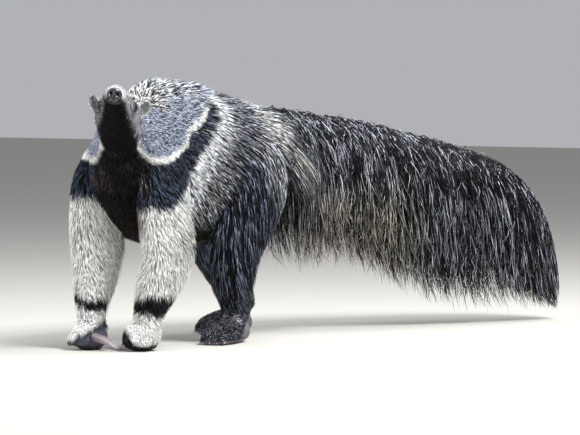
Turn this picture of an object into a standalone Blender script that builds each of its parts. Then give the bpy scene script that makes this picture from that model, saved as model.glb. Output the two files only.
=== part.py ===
"""A giant anteater, life size, standing in mid step with its head turned to its left and raised.

The animal faces -Y, its left side is +X and up is +Z, in metres. The trunk, tail and legs are
lofts through a few named stations. The long coat is made of flat tapered locks that are rooted in
a core under it. The nodes meet with a gap of 0.3 mm.
"""

import math
import random
from collections import namedtuple

import bmesh
import bpy
from mathutils import Matrix, Vector

GAP = 0.0003
UP = Vector((0, 0, 1))
BACKWARD = Vector((0, 1, 0))
DRAW = random.Random(11)

# Driving sizes of the animal
HIP_Y = 0.215
HEAD_YAW = 36
HEAD_PITCH = 13.5
HEAD_ROLL = 7
HEAD_LENGTH = 0.300
EYE_RADIUS = 0.0078
HINDFOOT_LENGTH = 0.165

# The long coat: how much of its depth the solid core fills, and how deep a lock is rooted.
CORE_SHARE = 0.5
ROOT_DEPTH = 0.012
LOCK_THICKNESS = 0.0065
SHORT_LOCK = (0.0, 0.16, 0.60, 1.0)

COLOURS = {
    "grizzled": (0.32, 0.31, 0.30, 1),
    "grey": (0.30, 0.30, 0.32, 1),
    "black": (0.03, 0.03, 0.035, 1),
    "cream": (0.72, 0.69, 0.60, 1),
    "tail": (0.20, 0.18, 0.17, 1),
    "horn": (0.34, 0.29, 0.30, 1),
    "eye": (0.02, 0.015, 0.01, 1),
}

# A station is one cross section of the trunk, from the rump to the skull: its centre, half width,
# half height, how much narrower its top is than its foot, the depth of the coat, and the way it
# faces in degrees. Yaw turns to the left.
Station = namedtuple("Station", "x y z width height egg coat yaw pitch")
TRUNK = [
    Station(0.000, 0.384, 0.488, 0.045, 0.050, 0.00, 0.030, 0, 0),
    Station(0.000, 0.335, 0.458, 0.085, 0.085, 0.05, 0.030, 0, 0),
    Station(0.000, HIP_Y, 0.433, 0.108, 0.132, 0.12, 0.030, 0, 0),
    Station(0.000, 0.060, 0.436, 0.112, 0.164, 0.15, 0.030, 0, 0),
    Station(0.000, -0.080, 0.444, 0.112, 0.174, 0.20, 0.032, 0, 2),
    Station(0.002, -0.170, 0.450, 0.103, 0.171, 0.28, 0.036, 3, 5),
    Station(0.022, -0.255, 0.466, 0.084, 0.133, 0.18, 0.024, 18, 11),
    Station(0.052, -0.320, 0.503, 0.057, 0.087, 0.05, 0.013, 29, 14),
    Station(0.088, -0.388, 0.560, 0.049, 0.053, 0.00, 0.003, HEAD_YAW, HEAD_PITCH),
]
NECK_FROM, HEAD_FROM = 5.30, 7.45

# Along the head, from the skull to the nose: distance, drop of the axis, half width, half height.
HEAD = [
    (0.045, 0.000, 0.0480, 0.0500),
    (0.088, 0.000, 0.0410, 0.0435),
    (0.125, 0.000, 0.0352, 0.0375),
    (0.195, 0.001, 0.0300, 0.0315),
    (0.250, 0.005, 0.0252, 0.0264),
    (0.280, 0.009, 0.0208, 0.0214),
    (0.294, 0.010, 0.0170, 0.0172),
    (HEAD_LENGTH, 0.010, 0.0100, 0.0105),
]

# The tail: its flesh by centre, half width and half height, then how high and how low its hair
# reaches and the hair's half width.
Tail = namedtuple("Tail", "x y z width height top bottom spread")
TAIL = [
    Tail(0.000, 0.385, 0.485, 0.046, 0.050, 0.572, 0.150, 0.085),
    Tail(0.016, 0.500, 0.472, 0.040, 0.045, 0.556, 0.150, 0.085),
    Tail(0.051, 0.620, 0.462, 0.034, 0.038, 0.541, 0.155, 0.088),
    Tail(0.090, 0.740, 0.440, 0.030, 0.033, 0.518, 0.110, 0.090),
    Tail(0.134, 0.860, 0.414, 0.026, 0.028, 0.489, 0.055, 0.088),
    Tail(0.180, 0.975, 0.384, 0.021, 0.023, 0.460, 0.028, 0.080),
    Tail(0.226, 1.080, 0.344, 0.015, 0.017, 0.418, 0.024, 0.068),
    Tail(0.258, 1.155, 0.296, 0.009, 0.010, 0.362, 0.022, 0.052),
    Tail(0.280, 1.215, 0.200, 0.006, 0.006, 0.280, 0.022, 0.036),
    Tail(0.292, 1.262, 0.100, 0.005, 0.005, 0.150, 0.024, 0.016),
]
TAIL_FLESH_END = 6.9

# A tier of the tail's hair: the path of a lock as how far out it is, in shares of the hair's half
# width, and how far down, in shares of its height. The first point is inside the core.
TAIL_TIERS = {
    "inner": ((0.16, 0.32), (0.42, 0.44), (0.52, 0.66), (0.46, 0.86), (0.34, 1.00)),
    "middle": ((0.25, 0.20), (0.64, 0.27), (0.80, 0.50), (0.77, 0.71), (0.66, 0.88)),
    "outer": ((0.15, 0.12), (0.52, 0.055), (0.88, 0.20), (1.00, 0.42), (0.95, 0.66)),
}

# Each leg runs from the body down: centre, half width, half depth, coat.
Joint = namedtuple("Joint", "x y z width depth coat")
FORELEGS = {
    "left": [
        Joint(0.072, -0.190, 0.475, 0.034, 0.056, 0.006),
        Joint(0.092, -0.220, 0.400, 0.046, 0.066, 0.014),
        Joint(0.108, -0.228, 0.310, 0.044, 0.058, 0.018),
        Joint(0.111, -0.228, 0.235, 0.040, 0.050, 0.022),
        Joint(0.099, -0.244, 0.165, 0.035, 0.038, 0.020),
        Joint(0.089, -0.260, 0.110, 0.028, 0.030, 0.014),
        Joint(0.085, -0.267, 0.070, 0.028, 0.030, 0.010),
        Joint(0.084, -0.271, 0.040, 0.030, 0.032, 0.008),
    ],
    "right": [
        Joint(-0.066, -0.205, 0.475, 0.034, 0.056, 0.006),
        Joint(-0.084, -0.232, 0.400, 0.046, 0.066, 0.014),
        Joint(-0.084, -0.250, 0.310, 0.044, 0.056, 0.018),
        Joint(-0.074, -0.268, 0.235, 0.039, 0.048, 0.020),
        Joint(-0.065, -0.288, 0.165, 0.032, 0.036, 0.018),
        Joint(-0.060, -0.302, 0.110, 0.025, 0.028, 0.011),
        Joint(-0.053, -0.308, 0.070, 0.026, 0.029, 0.009),
        Joint(-0.048, -0.312, 0.040, 0.030, 0.032, 0.008),
    ],
}
ELBOW, WRIST = 2.6, 5.2
# The claws of each forefoot are rolled inwards under the weight. The right ones show in front and the
# left ones lie back behind the palm. For each: how far in, ahead and up its root is from the foot's
# axis, its length, and how far it points back for each metre that it points in.
FORE_CLAWS = {
    "left": ((0.026, 0.030, -0.012, 0.070, 0.70), (0.026, 0.006, -0.016, 0.056, 0.70)),
    "right": ((0.034, 0.042, -0.006, 0.080, -0.12), (0.034, 0.017, -0.012, 0.066, -0.12)),
}
CLAW_RADIUS = 0.0105

HINDLEGS = {
    "left": [
        Joint(0.074, 0.190, 0.478, 0.032, 0.066, 0.010),
        Joint(0.090, 0.165, 0.410, 0.044, 0.092, 0.026),
        Joint(0.106, 0.100, 0.310, 0.042, 0.078, 0.028),
        Joint(0.108, 0.062, 0.235, 0.038, 0.056, 0.028),
        Joint(0.100, 0.062, 0.165, 0.032, 0.042, 0.024),
        Joint(0.093, 0.080, 0.105, 0.027, 0.032, 0.014),
        Joint(0.092, 0.090, 0.060, 0.025, 0.028, 0.006),
    ],
    "right": [
        Joint(-0.074, 0.232, 0.478, 0.032, 0.066, 0.010),
        Joint(-0.088, 0.240, 0.410, 0.044, 0.092, 0.026),
        Joint(-0.106, 0.255, 0.310, 0.042, 0.074, 0.028),
        Joint(-0.110, 0.270, 0.235, 0.038, 0.054, 0.028),
        Joint(-0.104, 0.315, 0.165, 0.032, 0.040, 0.024),
        Joint(-0.098, 0.358, 0.105, 0.027, 0.031, 0.014),
        Joint(-0.096, 0.378, 0.060, 0.025, 0.028, 0.006),
    ],
}
# Along a hind foot from its heel: distance, half width, height of its middle, half height.
HINDFOOT = (
    (0.000, 0.022, 0.024, 0.020),
    (0.020, 0.030, 0.030, 0.030),
    (0.055, 0.034, 0.029, 0.034),
    (0.100, 0.037, 0.024, 0.030),
    (0.140, 0.036, 0.019, 0.024),
    (HINDFOOT_LENGTH, 0.024, 0.012, 0.012),
)


def clear_scene():
    for old in list(bpy.data.objects):
        bpy.data.objects.remove(old)


def add_collection(name):
    made = bpy.data.collections.new(name)
    bpy.context.scene.collection.children.link(made)
    return made


def paint(name):
    """The material of that name, made once."""
    if name in bpy.data.materials:
        return bpy.data.materials[name]
    made = bpy.data.materials.new(name)
    made.use_nodes = True
    shader = made.node_tree.nodes["Principled BSDF"]
    shader.inputs["Base Color"].default_value = COLOURS[name]
    shader.inputs["Roughness"].default_value = 0.3 if name in ("horn", "eye") else 0.85
    shader.inputs["Metallic"].default_value = 0.0
    return made


def add_mesh(name, shape, colour=None, collection=None):
    """A smooth-shaded object from a bmesh, in triangles with their faces turned outwards."""
    bmesh.ops.triangulate(shape, faces=shape.faces)
    bmesh.ops.recalc_face_normals(shape, faces=shape.faces)
    data = bpy.data.meshes.new(name)
    shape.to_mesh(data)
    shape.free()
    data.shade_smooth()
    made = bpy.data.objects.new(name, data)
    if colour:
        made.data.materials.append(paint(colour))
    (collection or bpy.context.scene.collection).objects.link(made)
    return made


def apply_modifiers(thing):
    """The object's mesh as its modifiers leave it, and the modifiers gone."""
    graph = bpy.context.evaluated_depsgraph_get()
    made = bpy.data.meshes.new_from_object(thing.evaluated_get(graph))
    thing.modifiers.clear()
    old = thing.data
    thing.data = made
    bpy.data.meshes.remove(old)
    return thing


def keep_largest(thing):
    """Leaves only the largest closed surface of an object."""
    shape = bmesh.new()
    shape.from_mesh(thing.data)
    seen = set()
    groups = []
    for face in shape.faces:
        if face in seen:
            continue
        seen.add(face)
        group = []
        stack = [face]
        while stack:
            one = stack.pop()
            group.append(one)
            around = [other for edge in one.edges for other in edge.link_faces if other not in seen]
            seen.update(around)
            stack.extend(set(around))
        groups.append(group)
    groups.sort(key=lambda group: -sum(face.calc_area() for face in group))
    loose = [face for group in groups[1:] for face in group]
    bmesh.ops.delete(shape, geom=loose, context="FACES")
    shape.to_mesh(thing.data)
    shape.free()


def boolean(thing, other, operation, solver="EXACT"):
    """One Boolean with another object, applied, and the other object removed."""
    step = thing.modifiers.new(operation.title(), "BOOLEAN")
    step.operation = operation
    step.solver = solver
    step.object = other
    apply_modifiers(thing)
    bpy.data.objects.remove(other)
    keep_largest(thing)
    return thing


def fuse(thing, pieces):
    """Joins a collection of closed pieces to an object in one Boolean, and removes them."""
    group = add_collection(thing.name + "_pieces")
    for piece in pieces:
        bpy.context.scene.collection.objects.unlink(piece)
        group.objects.link(piece)
    step = thing.modifiers.new("Fuse", "BOOLEAN")
    step.operation = "UNION"
    step.solver = "MANIFOLD"
    step.operand_type = "COLLECTION"
    step.collection = group
    apply_modifiers(thing)
    for piece in pieces:
        bpy.data.objects.remove(piece)
    bpy.data.collections.remove(group)
    keep_largest(thing)
    return thing


def grown(thing, by):
    """A helper copy of an object, swollen along its normals."""
    copy = thing.copy()
    copy.data = thing.data.copy()
    bpy.context.scene.collection.objects.link(copy)
    swell = copy.modifiers.new("Swell", "DISPLACE")
    swell.strength = by
    swell.mid_level = 0
    return apply_modifiers(copy)


def cut_clear(thing, neighbour):
    """Cuts a piece back to 0.3 mm from its neighbour."""
    return boolean(thing, grown(neighbour, GAP), "DIFFERENCE", "MANIFOLD")


def blend_rows(rows, at):
    """The row at a fractional place in a table of rows, on a smooth Catmull-Rom curve."""
    last = len(rows) - 1
    at = min(max(at, 0.0), float(last))
    i = min(int(at), last - 1)
    t = at - i
    a, b, c, d = (rows[min(max(i + k, 0), last)] for k in (-1, 0, 1, 2))
    return [
        0.5 * (2 * q + (r - p) * t + (2 * p - 5 * q + 4 * r - s) * t**2 + (3 * q - p - 3 * r + s) * t**3)
        for p, q, r, s in zip(a, b, c, d)
    ]


def ease(value, low, high):
    """0 below low, 1 above high and a smooth step between."""
    t = min(max((value - low) / (high - low), 0.0), 1.0)
    return t * t * (3 - 2 * t)


def steps(start, end, count):
    return [start + (end - start) * k / count for k in range(count + 1)]


def facing(yaw, pitch):
    """The way that a section faces: yaw 0 is -Y, and a positive yaw turns to the animal's left."""
    turn, rise = math.radians(yaw), math.radians(pitch)
    return Vector((math.sin(turn) * math.cos(rise), -math.cos(turn) * math.cos(rise), math.sin(rise)))


def axes(ahead, up=UP):
    """A rotation whose columns are side, ahead and top."""
    ahead = ahead.normalized()
    side = ahead.cross(up).normalized()
    return Matrix((side, ahead, side.cross(ahead))).transposed()


def oval(centre, side, top, width, height, sides):
    """The points of one oval cross section."""
    turns = [2 * math.pi * k / sides for k in range(sides)]
    return [centre + side * width * math.cos(turn) + top * height * math.sin(turn) for turn in turns]


def loft(sections):
    """A closed bmesh through cross sections of the same number of points."""
    made = bmesh.new()
    rings = [[made.verts.new(p) for p in points] for points in sections]
    count = len(rings[0])
    for one, two in zip(rings, rings[1:]):
        for k in range(count):
            made.faces.new((one[k], one[(k + 1) % count], two[(k + 1) % count], two[k]))
    for ring in (rings[0], rings[-1]):
        middle = made.verts.new(sum((v.co for v in ring), Vector()) / count)
        for k in range(count):
            made.faces.new((ring[k], ring[(k + 1) % count], middle))
    return made


def lock(path, outward, width, thickness=LOCK_THICKNESS):
    """One flat tapered lock of hair along a path of points, with a ridge on its outer side."""
    profile = (0.62, 1.0, 0.92, 0.66, 0.0) if len(path) == 5 else (0.62, 1.0, 0.80, 0.0)
    made = bmesh.new()
    rings = []
    for k, place in enumerate(path):
        along = (path[min(k + 1, len(path) - 1)] - path[max(k - 1, 0)]).normalized()
        out = outward[k] - along * outward[k].dot(along)
        out.normalize()
        across = along.cross(out) * width / 2 * profile[k]
        ridge = out * thickness * (0.35 + 0.65 * profile[k])
        if k < len(path) - 1:
            rings.append([made.verts.new(p) for p in (place - across, place + ridge, place + across)])
        else:
            tip = made.verts.new(place + ridge / 2)
    for one, two in zip(rings, rings[1:]):
        for i in range(3):
            j = (i + 1) % 3
            made.faces.new((one[i], one[j], two[j], two[i]))
    made.faces.new(rings[0])
    for i in range(3):
        made.faces.new((rings[-1][i], rings[-1][(i + 1) % 3], tip))
    return add_mesh("lock", made)


def vary(size, share):
    """A size with a random share of itself added or taken away."""
    return size * (1 + DRAW.uniform(-share, share))


def ball(name, centre, size, rotation=None, colour=None, collection=None, segments=16, rings=10):
    """An ellipsoid with the given half sizes."""
    made = bmesh.new()
    bmesh.ops.create_uvsphere(made, u_segments=segments, v_segments=rings, radius=1.0)
    turn = (rotation or Matrix.Identity(3)).to_4x4()
    place = Matrix.Translation(centre) @ turn @ Matrix.Diagonal((*size, 1.0))
    bmesh.ops.transform(made, matrix=place, verts=made.verts)
    return add_mesh(name, made, colour, collection)


def box(name, centre, size, rotation=None):
    made = bmesh.new()
    bmesh.ops.create_cube(made, size=1.0)
    turn = (rotation or Matrix.Identity(3)).to_4x4()
    place = Matrix.Translation(centre) @ turn @ Matrix.Diagonal((*size, 1.0))
    bmesh.ops.transform(made, matrix=place, verts=made.verts)
    return add_mesh(name, made)


def flatten_foot(thing):
    """Cuts a foot flat where it stands on the floor."""
    depth = 0.1
    return boolean(thing, box("floor", Vector((0, 0, -depth / 2)), (3, 3, depth)), "DIFFERENCE")


def trunk_frame(at):
    """The centre, axes and row of a cross section of the trunk."""
    row = Station(*blend_rows(TRUNK, at))
    ahead = facing(row.yaw, row.pitch)
    side = ahead.cross(UP).normalized()
    return Vector(row[:3]), side, ahead, side.cross(ahead), row


def trunk_point(at, turn, coat):
    """A point of the trunk at an angle round it, 90 degrees at the top, at a height over the flesh."""
    centre, side, ahead, top, row = trunk_frame(at)
    wide = (row.width + coat) * math.cos(turn) * (1 - row.egg * math.sin(turn))
    return centre + side * wide + top * (row.height + coat) * math.sin(turn)


def core_share(at, turn):
    """The share of the coat that is solid: all of it on the neck and belly, where the fur is short."""
    shoulder = ease(at, 4.2, 4.9)
    belly = 1 - ease(math.sin(turn), -0.85, -0.5)
    return CORE_SHARE + (1 - CORE_SHARE) * max(shoulder, belly)


def trunk_section(at, sides, shift=0.0):
    """A cross section of the trunk's solid core."""
    centre, side, ahead, top, row = trunk_frame(at)
    turns = [2 * math.pi * k / sides for k in range(sides)]
    return [trunk_point(at, turn, row.coat * core_share(at, turn)) + ahead * shift for turn in turns]


def trunk_lock(at, turn, left, reach, fall, width):
    """A lock on one side of the trunk that runs back by a reach in stations and falls by an angle."""
    path, outward = [], []
    sway = DRAW.uniform(-0.04, 0.04)
    for share in SHORT_LOCK:
        here = max(at - reach * share, 0.05)
        around = turn - (fall - sway) * share
        around = math.pi - around if left > 0 else around
        centre, side, ahead, top, row = trunk_frame(here)
        root = row.coat * core_share(at, turn) - ROOT_DEPTH
        height = root + (row.coat * 1.05 - root) * share**0.6
        place = trunk_point(here, around, height)
        path.append(place)
        outward.append(place - centre)
    return lock(path, outward, width)


def hanging_lock(at, turn, drop, width):
    """A lock on the rump that comes out of the coat and hangs straight down."""
    row = trunk_frame(at)[4]
    root = trunk_point(at, turn, row.coat * CORE_SHARE - ROOT_DEPTH)
    out = Vector((math.copysign(1, root.x), 0.15, 0)).normalized()
    shape = ((0.0, 0.0), (0.032, 0.10), (0.040, 0.38), (0.036, 0.72), (0.026, 1.0))
    path = [root + out * away - UP * drop * down for away, down in shape]
    return lock(path, [out] * len(path), width)


def under_thigh(at, turn, left):
    """Whether the thigh on that side covers this place on the flank."""
    middle = 2.55 if left > 0 else 1.9
    return math.sin(turn) < 0.05 and abs(at - middle) < 0.75


def torso_locks():
    """The grizzled coat of the flanks and the crest along the back, in rows from rump to shoulder."""
    made = []
    for ring, at in enumerate(steps(0.95, 4.7, 6)):
        reach = min(1.0, at - 0.25)
        for k in range(4):
            for left in (1, -1):
                turn = math.radians(73 - 32 * k - 14 * (ring % 2) + DRAW.uniform(-2, 2))
                fall = math.radians(vary(16 + 5 * k + 18 * (1 - reach), 0.2))
                if under_thigh(at, turn, left):
                    continue
                made.append(trunk_lock(at, turn, left, vary(reach, 0.1), fall, vary(0.062, 0.06)))
    for at in steps(1.0, 4.9, 5):
        made.append(trunk_lock(at, math.radians(90), 1, min(0.95, at - 0.25), 0.0, vary(0.040, 0.1)))
    for at, drop in ((0.52, 0.25), (0.90, 0.22), (1.28, 0.16)):
        for turn in (math.radians(-14), math.radians(194)):
            made.append(hanging_lock(at, turn, vary(drop, 0.05), vary(0.052, 0.05)))
    return made


def neck_locks():
    """The crest along the nape, ending before the withers."""
    made = []
    for at in (6.0, 6.6):
        for turn, left in ((90, 1), (68, 1), (68, -1)):
            made.append(trunk_lock(at, math.radians(turn), left, vary(0.5, 0.1), 0.0, vary(0.030, 0.1)))
    return made


def build_trunk(model):
    sides = 22
    torso = [trunk_section(at, sides) for at in steps(0.0, NECK_FROM, 12)]
    torso[0] = trunk_section(0.0, sides, -GAP / 2)
    torso[-1] = trunk_section(NECK_FROM, sides, -GAP / 2)
    neck = [trunk_section(at, sides) for at in steps(NECK_FROM, HEAD_FROM, 6)]
    neck[0] = trunk_section(NECK_FROM, sides, GAP / 2)
    neck[-1] = trunk_section(HEAD_FROM, sides, -GAP / 2)
    return (
        add_mesh("torso", loft(torso), "grizzled", model),
        add_mesh("neck", loft(neck), "grey", model),
    )


def head_turn():
    """The head's rotation, with its left side rolled down."""
    return axes(facing(HEAD_YAW, HEAD_PITCH)) @ Matrix.Rotation(-math.radians(HEAD_ROLL), 3, "Y")


def head_place(along, across, up):
    """A point on the head, from its distances ahead of the skull, to its left and above its axis."""
    return Vector(TRUNK[-1][:3]) + head_turn() @ Vector((-across, along, up))


def build_head(model):
    """The head from its cut at the neck to the nose, with eyes, lids, nostrils and mouth line."""
    sides = 22
    turn = head_turn()
    side, ahead, top = turn.transposed()
    skull = TRUNK[-1]
    found = [trunk_section(HEAD_FROM, sides, GAP / 2), trunk_section(7.75, sides)]
    found.append(oval(head_place(0, 0, 0), side, top, skull.width, skull.height, sides))
    for along, drop, width, height in HEAD:
        found.append(oval(head_place(along, 0, -drop), side, top, width, height, sides))
    head = add_mesh("head", loft(found), "grey", model)
    for name, left in (("left", 1), ("right", -1)):
        place = head_place(0.088, left * 0.0360, 0.008)
        lids = ball("lids", place, (0.0060, 0.0125, 0.0095), turn, segments=12, rings=8)
        boolean(head, lids, "UNION", "MANIFOLD")
        place = head_place(0.088, left * 0.0378, 0.008)
        eye = ball(f"eye_{name}", place, (EYE_RADIUS,) * 3, turn, "eye", model, 12, 8)
        cut_clear(head, eye)
        place = head_place(HEAD_LENGTH, left * 0.0065, -0.007)
        pit = ball("nostril", place, (0.0034, 0.006, 0.0042), turn, segments=8, rings=6)
        boolean(head, pit, "DIFFERENCE", "MANIFOLD")
    mouth = box("mouth", head_place(0.287, 0, -0.0235), (0.06, 0.030, 0.0016), turn)
    boolean(head, mouth, "DIFFERENCE", "MANIFOLD")
    return head


def build_ear(name, left, head, model):
    """A small round ear, hollowed on its front, standing at the back of the skull."""
    turn = head_turn()
    lean = (turn @ Vector((-left * 0.36, -0.15, 0.93))).normalized()
    mouth = turn @ Vector((-left * 0.45, 0.85, 0.10))
    ear_turn = axes(mouth, lean)
    root = head_place(0.006, left * 0.054, 0.011)
    ear = ball(name, root + lean * 0.016, (0.0140, 0.0095, 0.0220), ear_turn, "grey", model, 12, 8)
    hollow = root + lean * 0.020 + mouth.normalized() * 0.0075
    boolean(ear, ball("cup", hollow, (0.0105, 0.0100, 0.0170), ear_turn, segments=10, rings=6), "DIFFERENCE")
    cut_clear(ear, head)


def tail_frame(at):
    """The row, the way and the left side of the tail at a place along it."""
    before, after = blend_rows(TAIL, at - 0.1), blend_rows(TAIL, at + 0.1)
    turned = ease(at, 0.0, 0.6)
    way = Vector(((after[0] - before[0]) * turned, after[1] - before[1], 0)).normalized()
    return Tail(*blend_rows(TAIL, at)), way, UP.cross(way)


def tail_section(at, sides, shift=0.0):
    """A cross section of the tail's core: the flesh and the upper part of its hair."""
    row, way, side = tail_frame(at)
    flesh_low = row.z - row.height
    high = row.z + row.height + (row.top - row.z - row.height) * CORE_SHARE
    low = flesh_low - (flesh_low - row.bottom) * CORE_SHARE * 0.9
    width = row.width + (row.spread - row.width) * 0.25 * CORE_SHARE
    centre = Vector((row.x, row.y, (high + low) / 2)) + way * shift
    return oval(centre, side, UP, width, (high - low) / 2, sides)


def tail_lock(at, tier, left, reach, width):
    """A lock of the tail's curtain on one side, along the path of its tier."""
    path, outward = [], []
    drift = DRAW.uniform(-0.12, 0.12)
    longer = vary(1.0, 0.05)
    for k, (out, down) in enumerate(TAIL_TIERS[tier]):
        share = k / 4
        row, way, side = tail_frame(min(at + (reach + drift) * share, len(TAIL) - 1.05))
        down = 1 - (1 - down) / longer if k == 4 else down
        height = row.top + (row.bottom - row.top) * min(down, 1.0)
        path.append(Vector((row.x, row.y, height)) + side * left * row.spread * out)
        outward.append(side * left + UP * (0.9 if k < 2 and tier == "outer" else 0.05))
    return lock(path, outward, width, LOCK_THICKNESS * min(1.0, row.spread / 0.05))


def ridge_lock(at, reach, width):
    """A lock along the top of the tail, lying back over the next."""
    path = []
    lean = DRAW.uniform(-0.2, 0.2)
    for share, down in zip((0.0, 0.18, 0.45, 0.75, 1.0), (0.11, 0.055, 0.03, 0.015, 0.0)):
        row, way, side = tail_frame(min(at + reach * share, len(TAIL) - 1.05))
        height = row.top + (row.bottom - row.top) * down
        path.append(Vector((row.x, row.y, height)) + side * row.spread * lean * share)
    return lock(path, [UP] * len(path), width)


def tail_locks():
    """The curtain of the tail: three tiers on each side, and a row along the top."""
    made = []
    for number, tier in enumerate(TAIL_TIERS):
        for at in steps(0.40 + 0.14 * number, 6.6 - 0.17 * number, 11):
            reach = 0.45 + 1.75 * ease(at, 4.2, 6.6)
            for left in (1, -1):
                made.append(tail_lock(vary(at, 0.01), tier, left, reach, vary(0.064, 0.06)))
    for at in steps(0.4, 6.3, 7):
        made.append(ridge_lock(at, 1.1, vary(0.045, 0.1)))
    return made


def build_tail(model):
    places = steps(0.0, TAIL_FLESH_END, 12)
    rings = [tail_section(at, 18) for at in places]
    rings[0] = tail_section(0.0, 18, GAP)
    return fuse(add_mesh("tail", loft(rings), "tail", model), tail_locks())


def leg_frame(rows, at):
    """The centre of a leg's section, its left, rear and down axes, and its row."""
    before, after = blend_rows(rows, at - 0.05), blend_rows(rows, at + 0.05)
    down = (Vector(after[:3]) - Vector(before[:3])).normalized()
    side = down.cross(BACKWARD).normalized()
    row = Joint(*blend_rows(rows, at))
    return Vector(row[:3]), side, side.cross(down), down, row


def leg_section(rows, at, sides, shift=0.0, share=1.0):
    centre, side, rear, down, row = leg_frame(rows, at)
    coat = row.coat * share
    return oval(centre + down * shift, side, rear, row.width + coat, row.depth + coat, sides)


def leg_piece(name, rows, start, end, count, colour, collection, share=1.0):
    """One length of a leg, between two places along its rows."""
    sides = 14
    found = [leg_section(rows, at, sides, 0, share) for at in steps(start, end, count)]
    if start > 0:
        found[0] = leg_section(rows, start, sides, GAP / 2, share)
    found[-1] = leg_section(rows, end, sides, -GAP / 2, share)
    return add_mesh(name, loft(found), colour, collection)


def leg_lock(rows, at, turn, reach, width, share_from):
    """A lock that runs down a leg, round it at an angle of 0 at its left and 90 at its rear."""
    path, outward = [], []
    twist = DRAW.uniform(-0.12, 0.12)
    for share in SHORT_LOCK:
        centre, side, rear, down, row = leg_frame(rows, at + reach * share)
        root = row.coat * share_from - ROOT_DEPTH
        coat = root + (row.coat * 1.15 - root) * share**0.6
        around = turn + twist * share
        out = side * (row.width + coat) * math.cos(around) + rear * (row.depth + coat) * math.sin(around)
        path.append(centre + out)
        outward.append(out)
    return lock(path, outward, width)


def build_foreleg(side, model):
    rows = FORELEGS[side]
    inward = -1 if side == "left" else 1
    upper = leg_piece(f"upper_arm_{side}", rows, 0, ELBOW, 5, "black", model)
    forearm = leg_piece(f"forearm_{side}", rows, ELBOW, WRIST, 5, "cream", model, 0.75)
    fringe = []
    for at in (2.9, 3.6):
        for angle in (48, 90, 132):
            turn = math.radians(angle + DRAW.uniform(-6, 6))
            fringe.append(leg_lock(rows, at, turn, vary(1.0, 0.1), vary(0.034, 0.1), 0.75))
    fuse(forearm, fringe)
    last = Vector(rows[-1][:3])
    foot = leg_piece(f"forefoot_{side}", rows, WRIST, len(rows) - 1.0, 3, "cream", model)
    palm = last + Vector((inward * 0.004, -0.016, -0.010))
    boolean(foot, ball("palm", palm, (0.044, 0.050, 0.036), segments=12, rings=7), "UNION")
    flatten_foot(foot)
    for number, (inwards, ahead, rise, length, back) in enumerate(FORE_CLAWS[side]):
        root = last + Vector((inward * inwards, -ahead, rise))
        way = Vector((inward, back, -0.14))
        claw = build_claw(f"claw_{side}_{number + 1}", root, way, length, CLAW_RADIUS, 7, 5, model)
        cut_clear(claw, foot)
    return [upper, forearm]


def build_claw(name, root, way, length, radius, sides, count, collection=None):
    """A tapered claw that curves downwards from its root."""
    way = way.normalized()
    side = way.cross(UP).normalized()
    found = []
    for k in range(count + 1):
        share = k / count
        bend = math.radians(46 * share)
        ahead = (way * math.cos(bend) - UP * math.sin(bend)).normalized()
        size = radius * (1 - 0.86 * share**1.6)
        place = root + way * length * share - UP * 0.012 * share**2
        place.z = max(place.z, size + 0.001)
        found.append(oval(place, side, side.cross(ahead), size * 0.62, size, sides))
    return add_mesh(name, loft(found), "horn", collection)


def build_hindleg(side, model):
    """A hind leg in its long coat, with the planted foot and its five claws."""
    rows = HINDLEGS[side]
    left = 1 if side == "left" else -1
    leg = leg_piece(f"hindleg_{side}", rows, 0, len(rows) - 1.0, 12, "black", model, CORE_SHARE)
    coat = []
    for row, at in enumerate((1.9, 2.8, 3.6, 4.2)):
        for k in range(4):
            angle = -60 + 58 * k + 26 * (row % 2) + DRAW.uniform(-4, 4)
            turn = math.radians(angle if left > 0 else 180 - angle)
            coat.append(leg_lock(rows, at, turn, vary(1.15, 0.1), vary(0.052, 0.1), CORE_SHARE))
    fuse(leg, coat)
    heel = Vector((rows[-1].x + left * 0.003, rows[-1].y + 0.020, 0))
    ahead = Vector((left * 0.13, -1, 0)).normalized()
    across = ahead.cross(UP)
    found = [oval(heel + ahead * along + UP * (rise - 0.002), across, UP, width, height, 14)
             for along, width, rise, height in HINDFOOT]
    foot = add_mesh(f"hindfoot_{side}", loft(found), "black", model)
    flatten_foot(foot)
    claws = []
    for k in range(-2, 3):
        out = k * 0.0145
        root = heel + ahead * (HINDFOOT_LENGTH - 0.022 - abs(k) * 0.006) + across * out + UP * 0.013
        claws.append(build_claw("claw", root, ahead + across * out * 6 - UP * 0.1, 0.034, 0.0060, 5, 3))
    fuse(foot, claws)
    cut_clear(leg, foot)
    return leg


def stand_at_origin(model):
    """Moves all to put the origin under the middle of the animal, by way of one parent."""
    points = [v.co for thing in model.objects for v in thing.data.vertices]
    low = [min(p[axis] for p in points) for axis in range(3)]
    high = [max(p[axis] for p in points) for axis in range(3)]
    root = bpy.data.objects.new("giant_anteater", None)
    root.location = (-(low[0] + high[0]) / 2, -(low[1] + high[1]) / 2, -low[2])
    for thing in model.objects:
        thing.parent = root
    model.objects.link(root)


def main():
    clear_scene()
    model = add_collection("giant_anteater")
    torso, neck = build_trunk(model)
    head = build_head(model)
    for name, left in (("left", 1), ("right", -1)):
        build_ear(f"ear_{name}", left, head, model)
    arms = build_foreleg("left", model) + build_foreleg("right", model)
    legs = [build_hindleg("left", model), build_hindleg("right", model)]
    fuse(neck, neck_locks())
    fuse(torso, torso_locks())
    tail = build_tail(model)
    cut_clear(tail, torso)
    cut_clear(tail, legs[1])
    for limb in legs + arms:
        cut_clear(torso, limb)
    for upper in arms[::2]:
        cut_clear(neck, upper)
    stand_at_origin(model)


main()
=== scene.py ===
"""A giant anteater, life size, standing still: one skin over the flesh, a coat of solid hair tufts,
lidded eyes and horn claws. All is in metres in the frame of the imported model, where the animal
faces -Y, its left side is +X and the floor is z = 0.
"""

import math

import bpy
import numpy as np
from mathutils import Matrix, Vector
from mathutils.bvhtree import BVHTree


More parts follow.
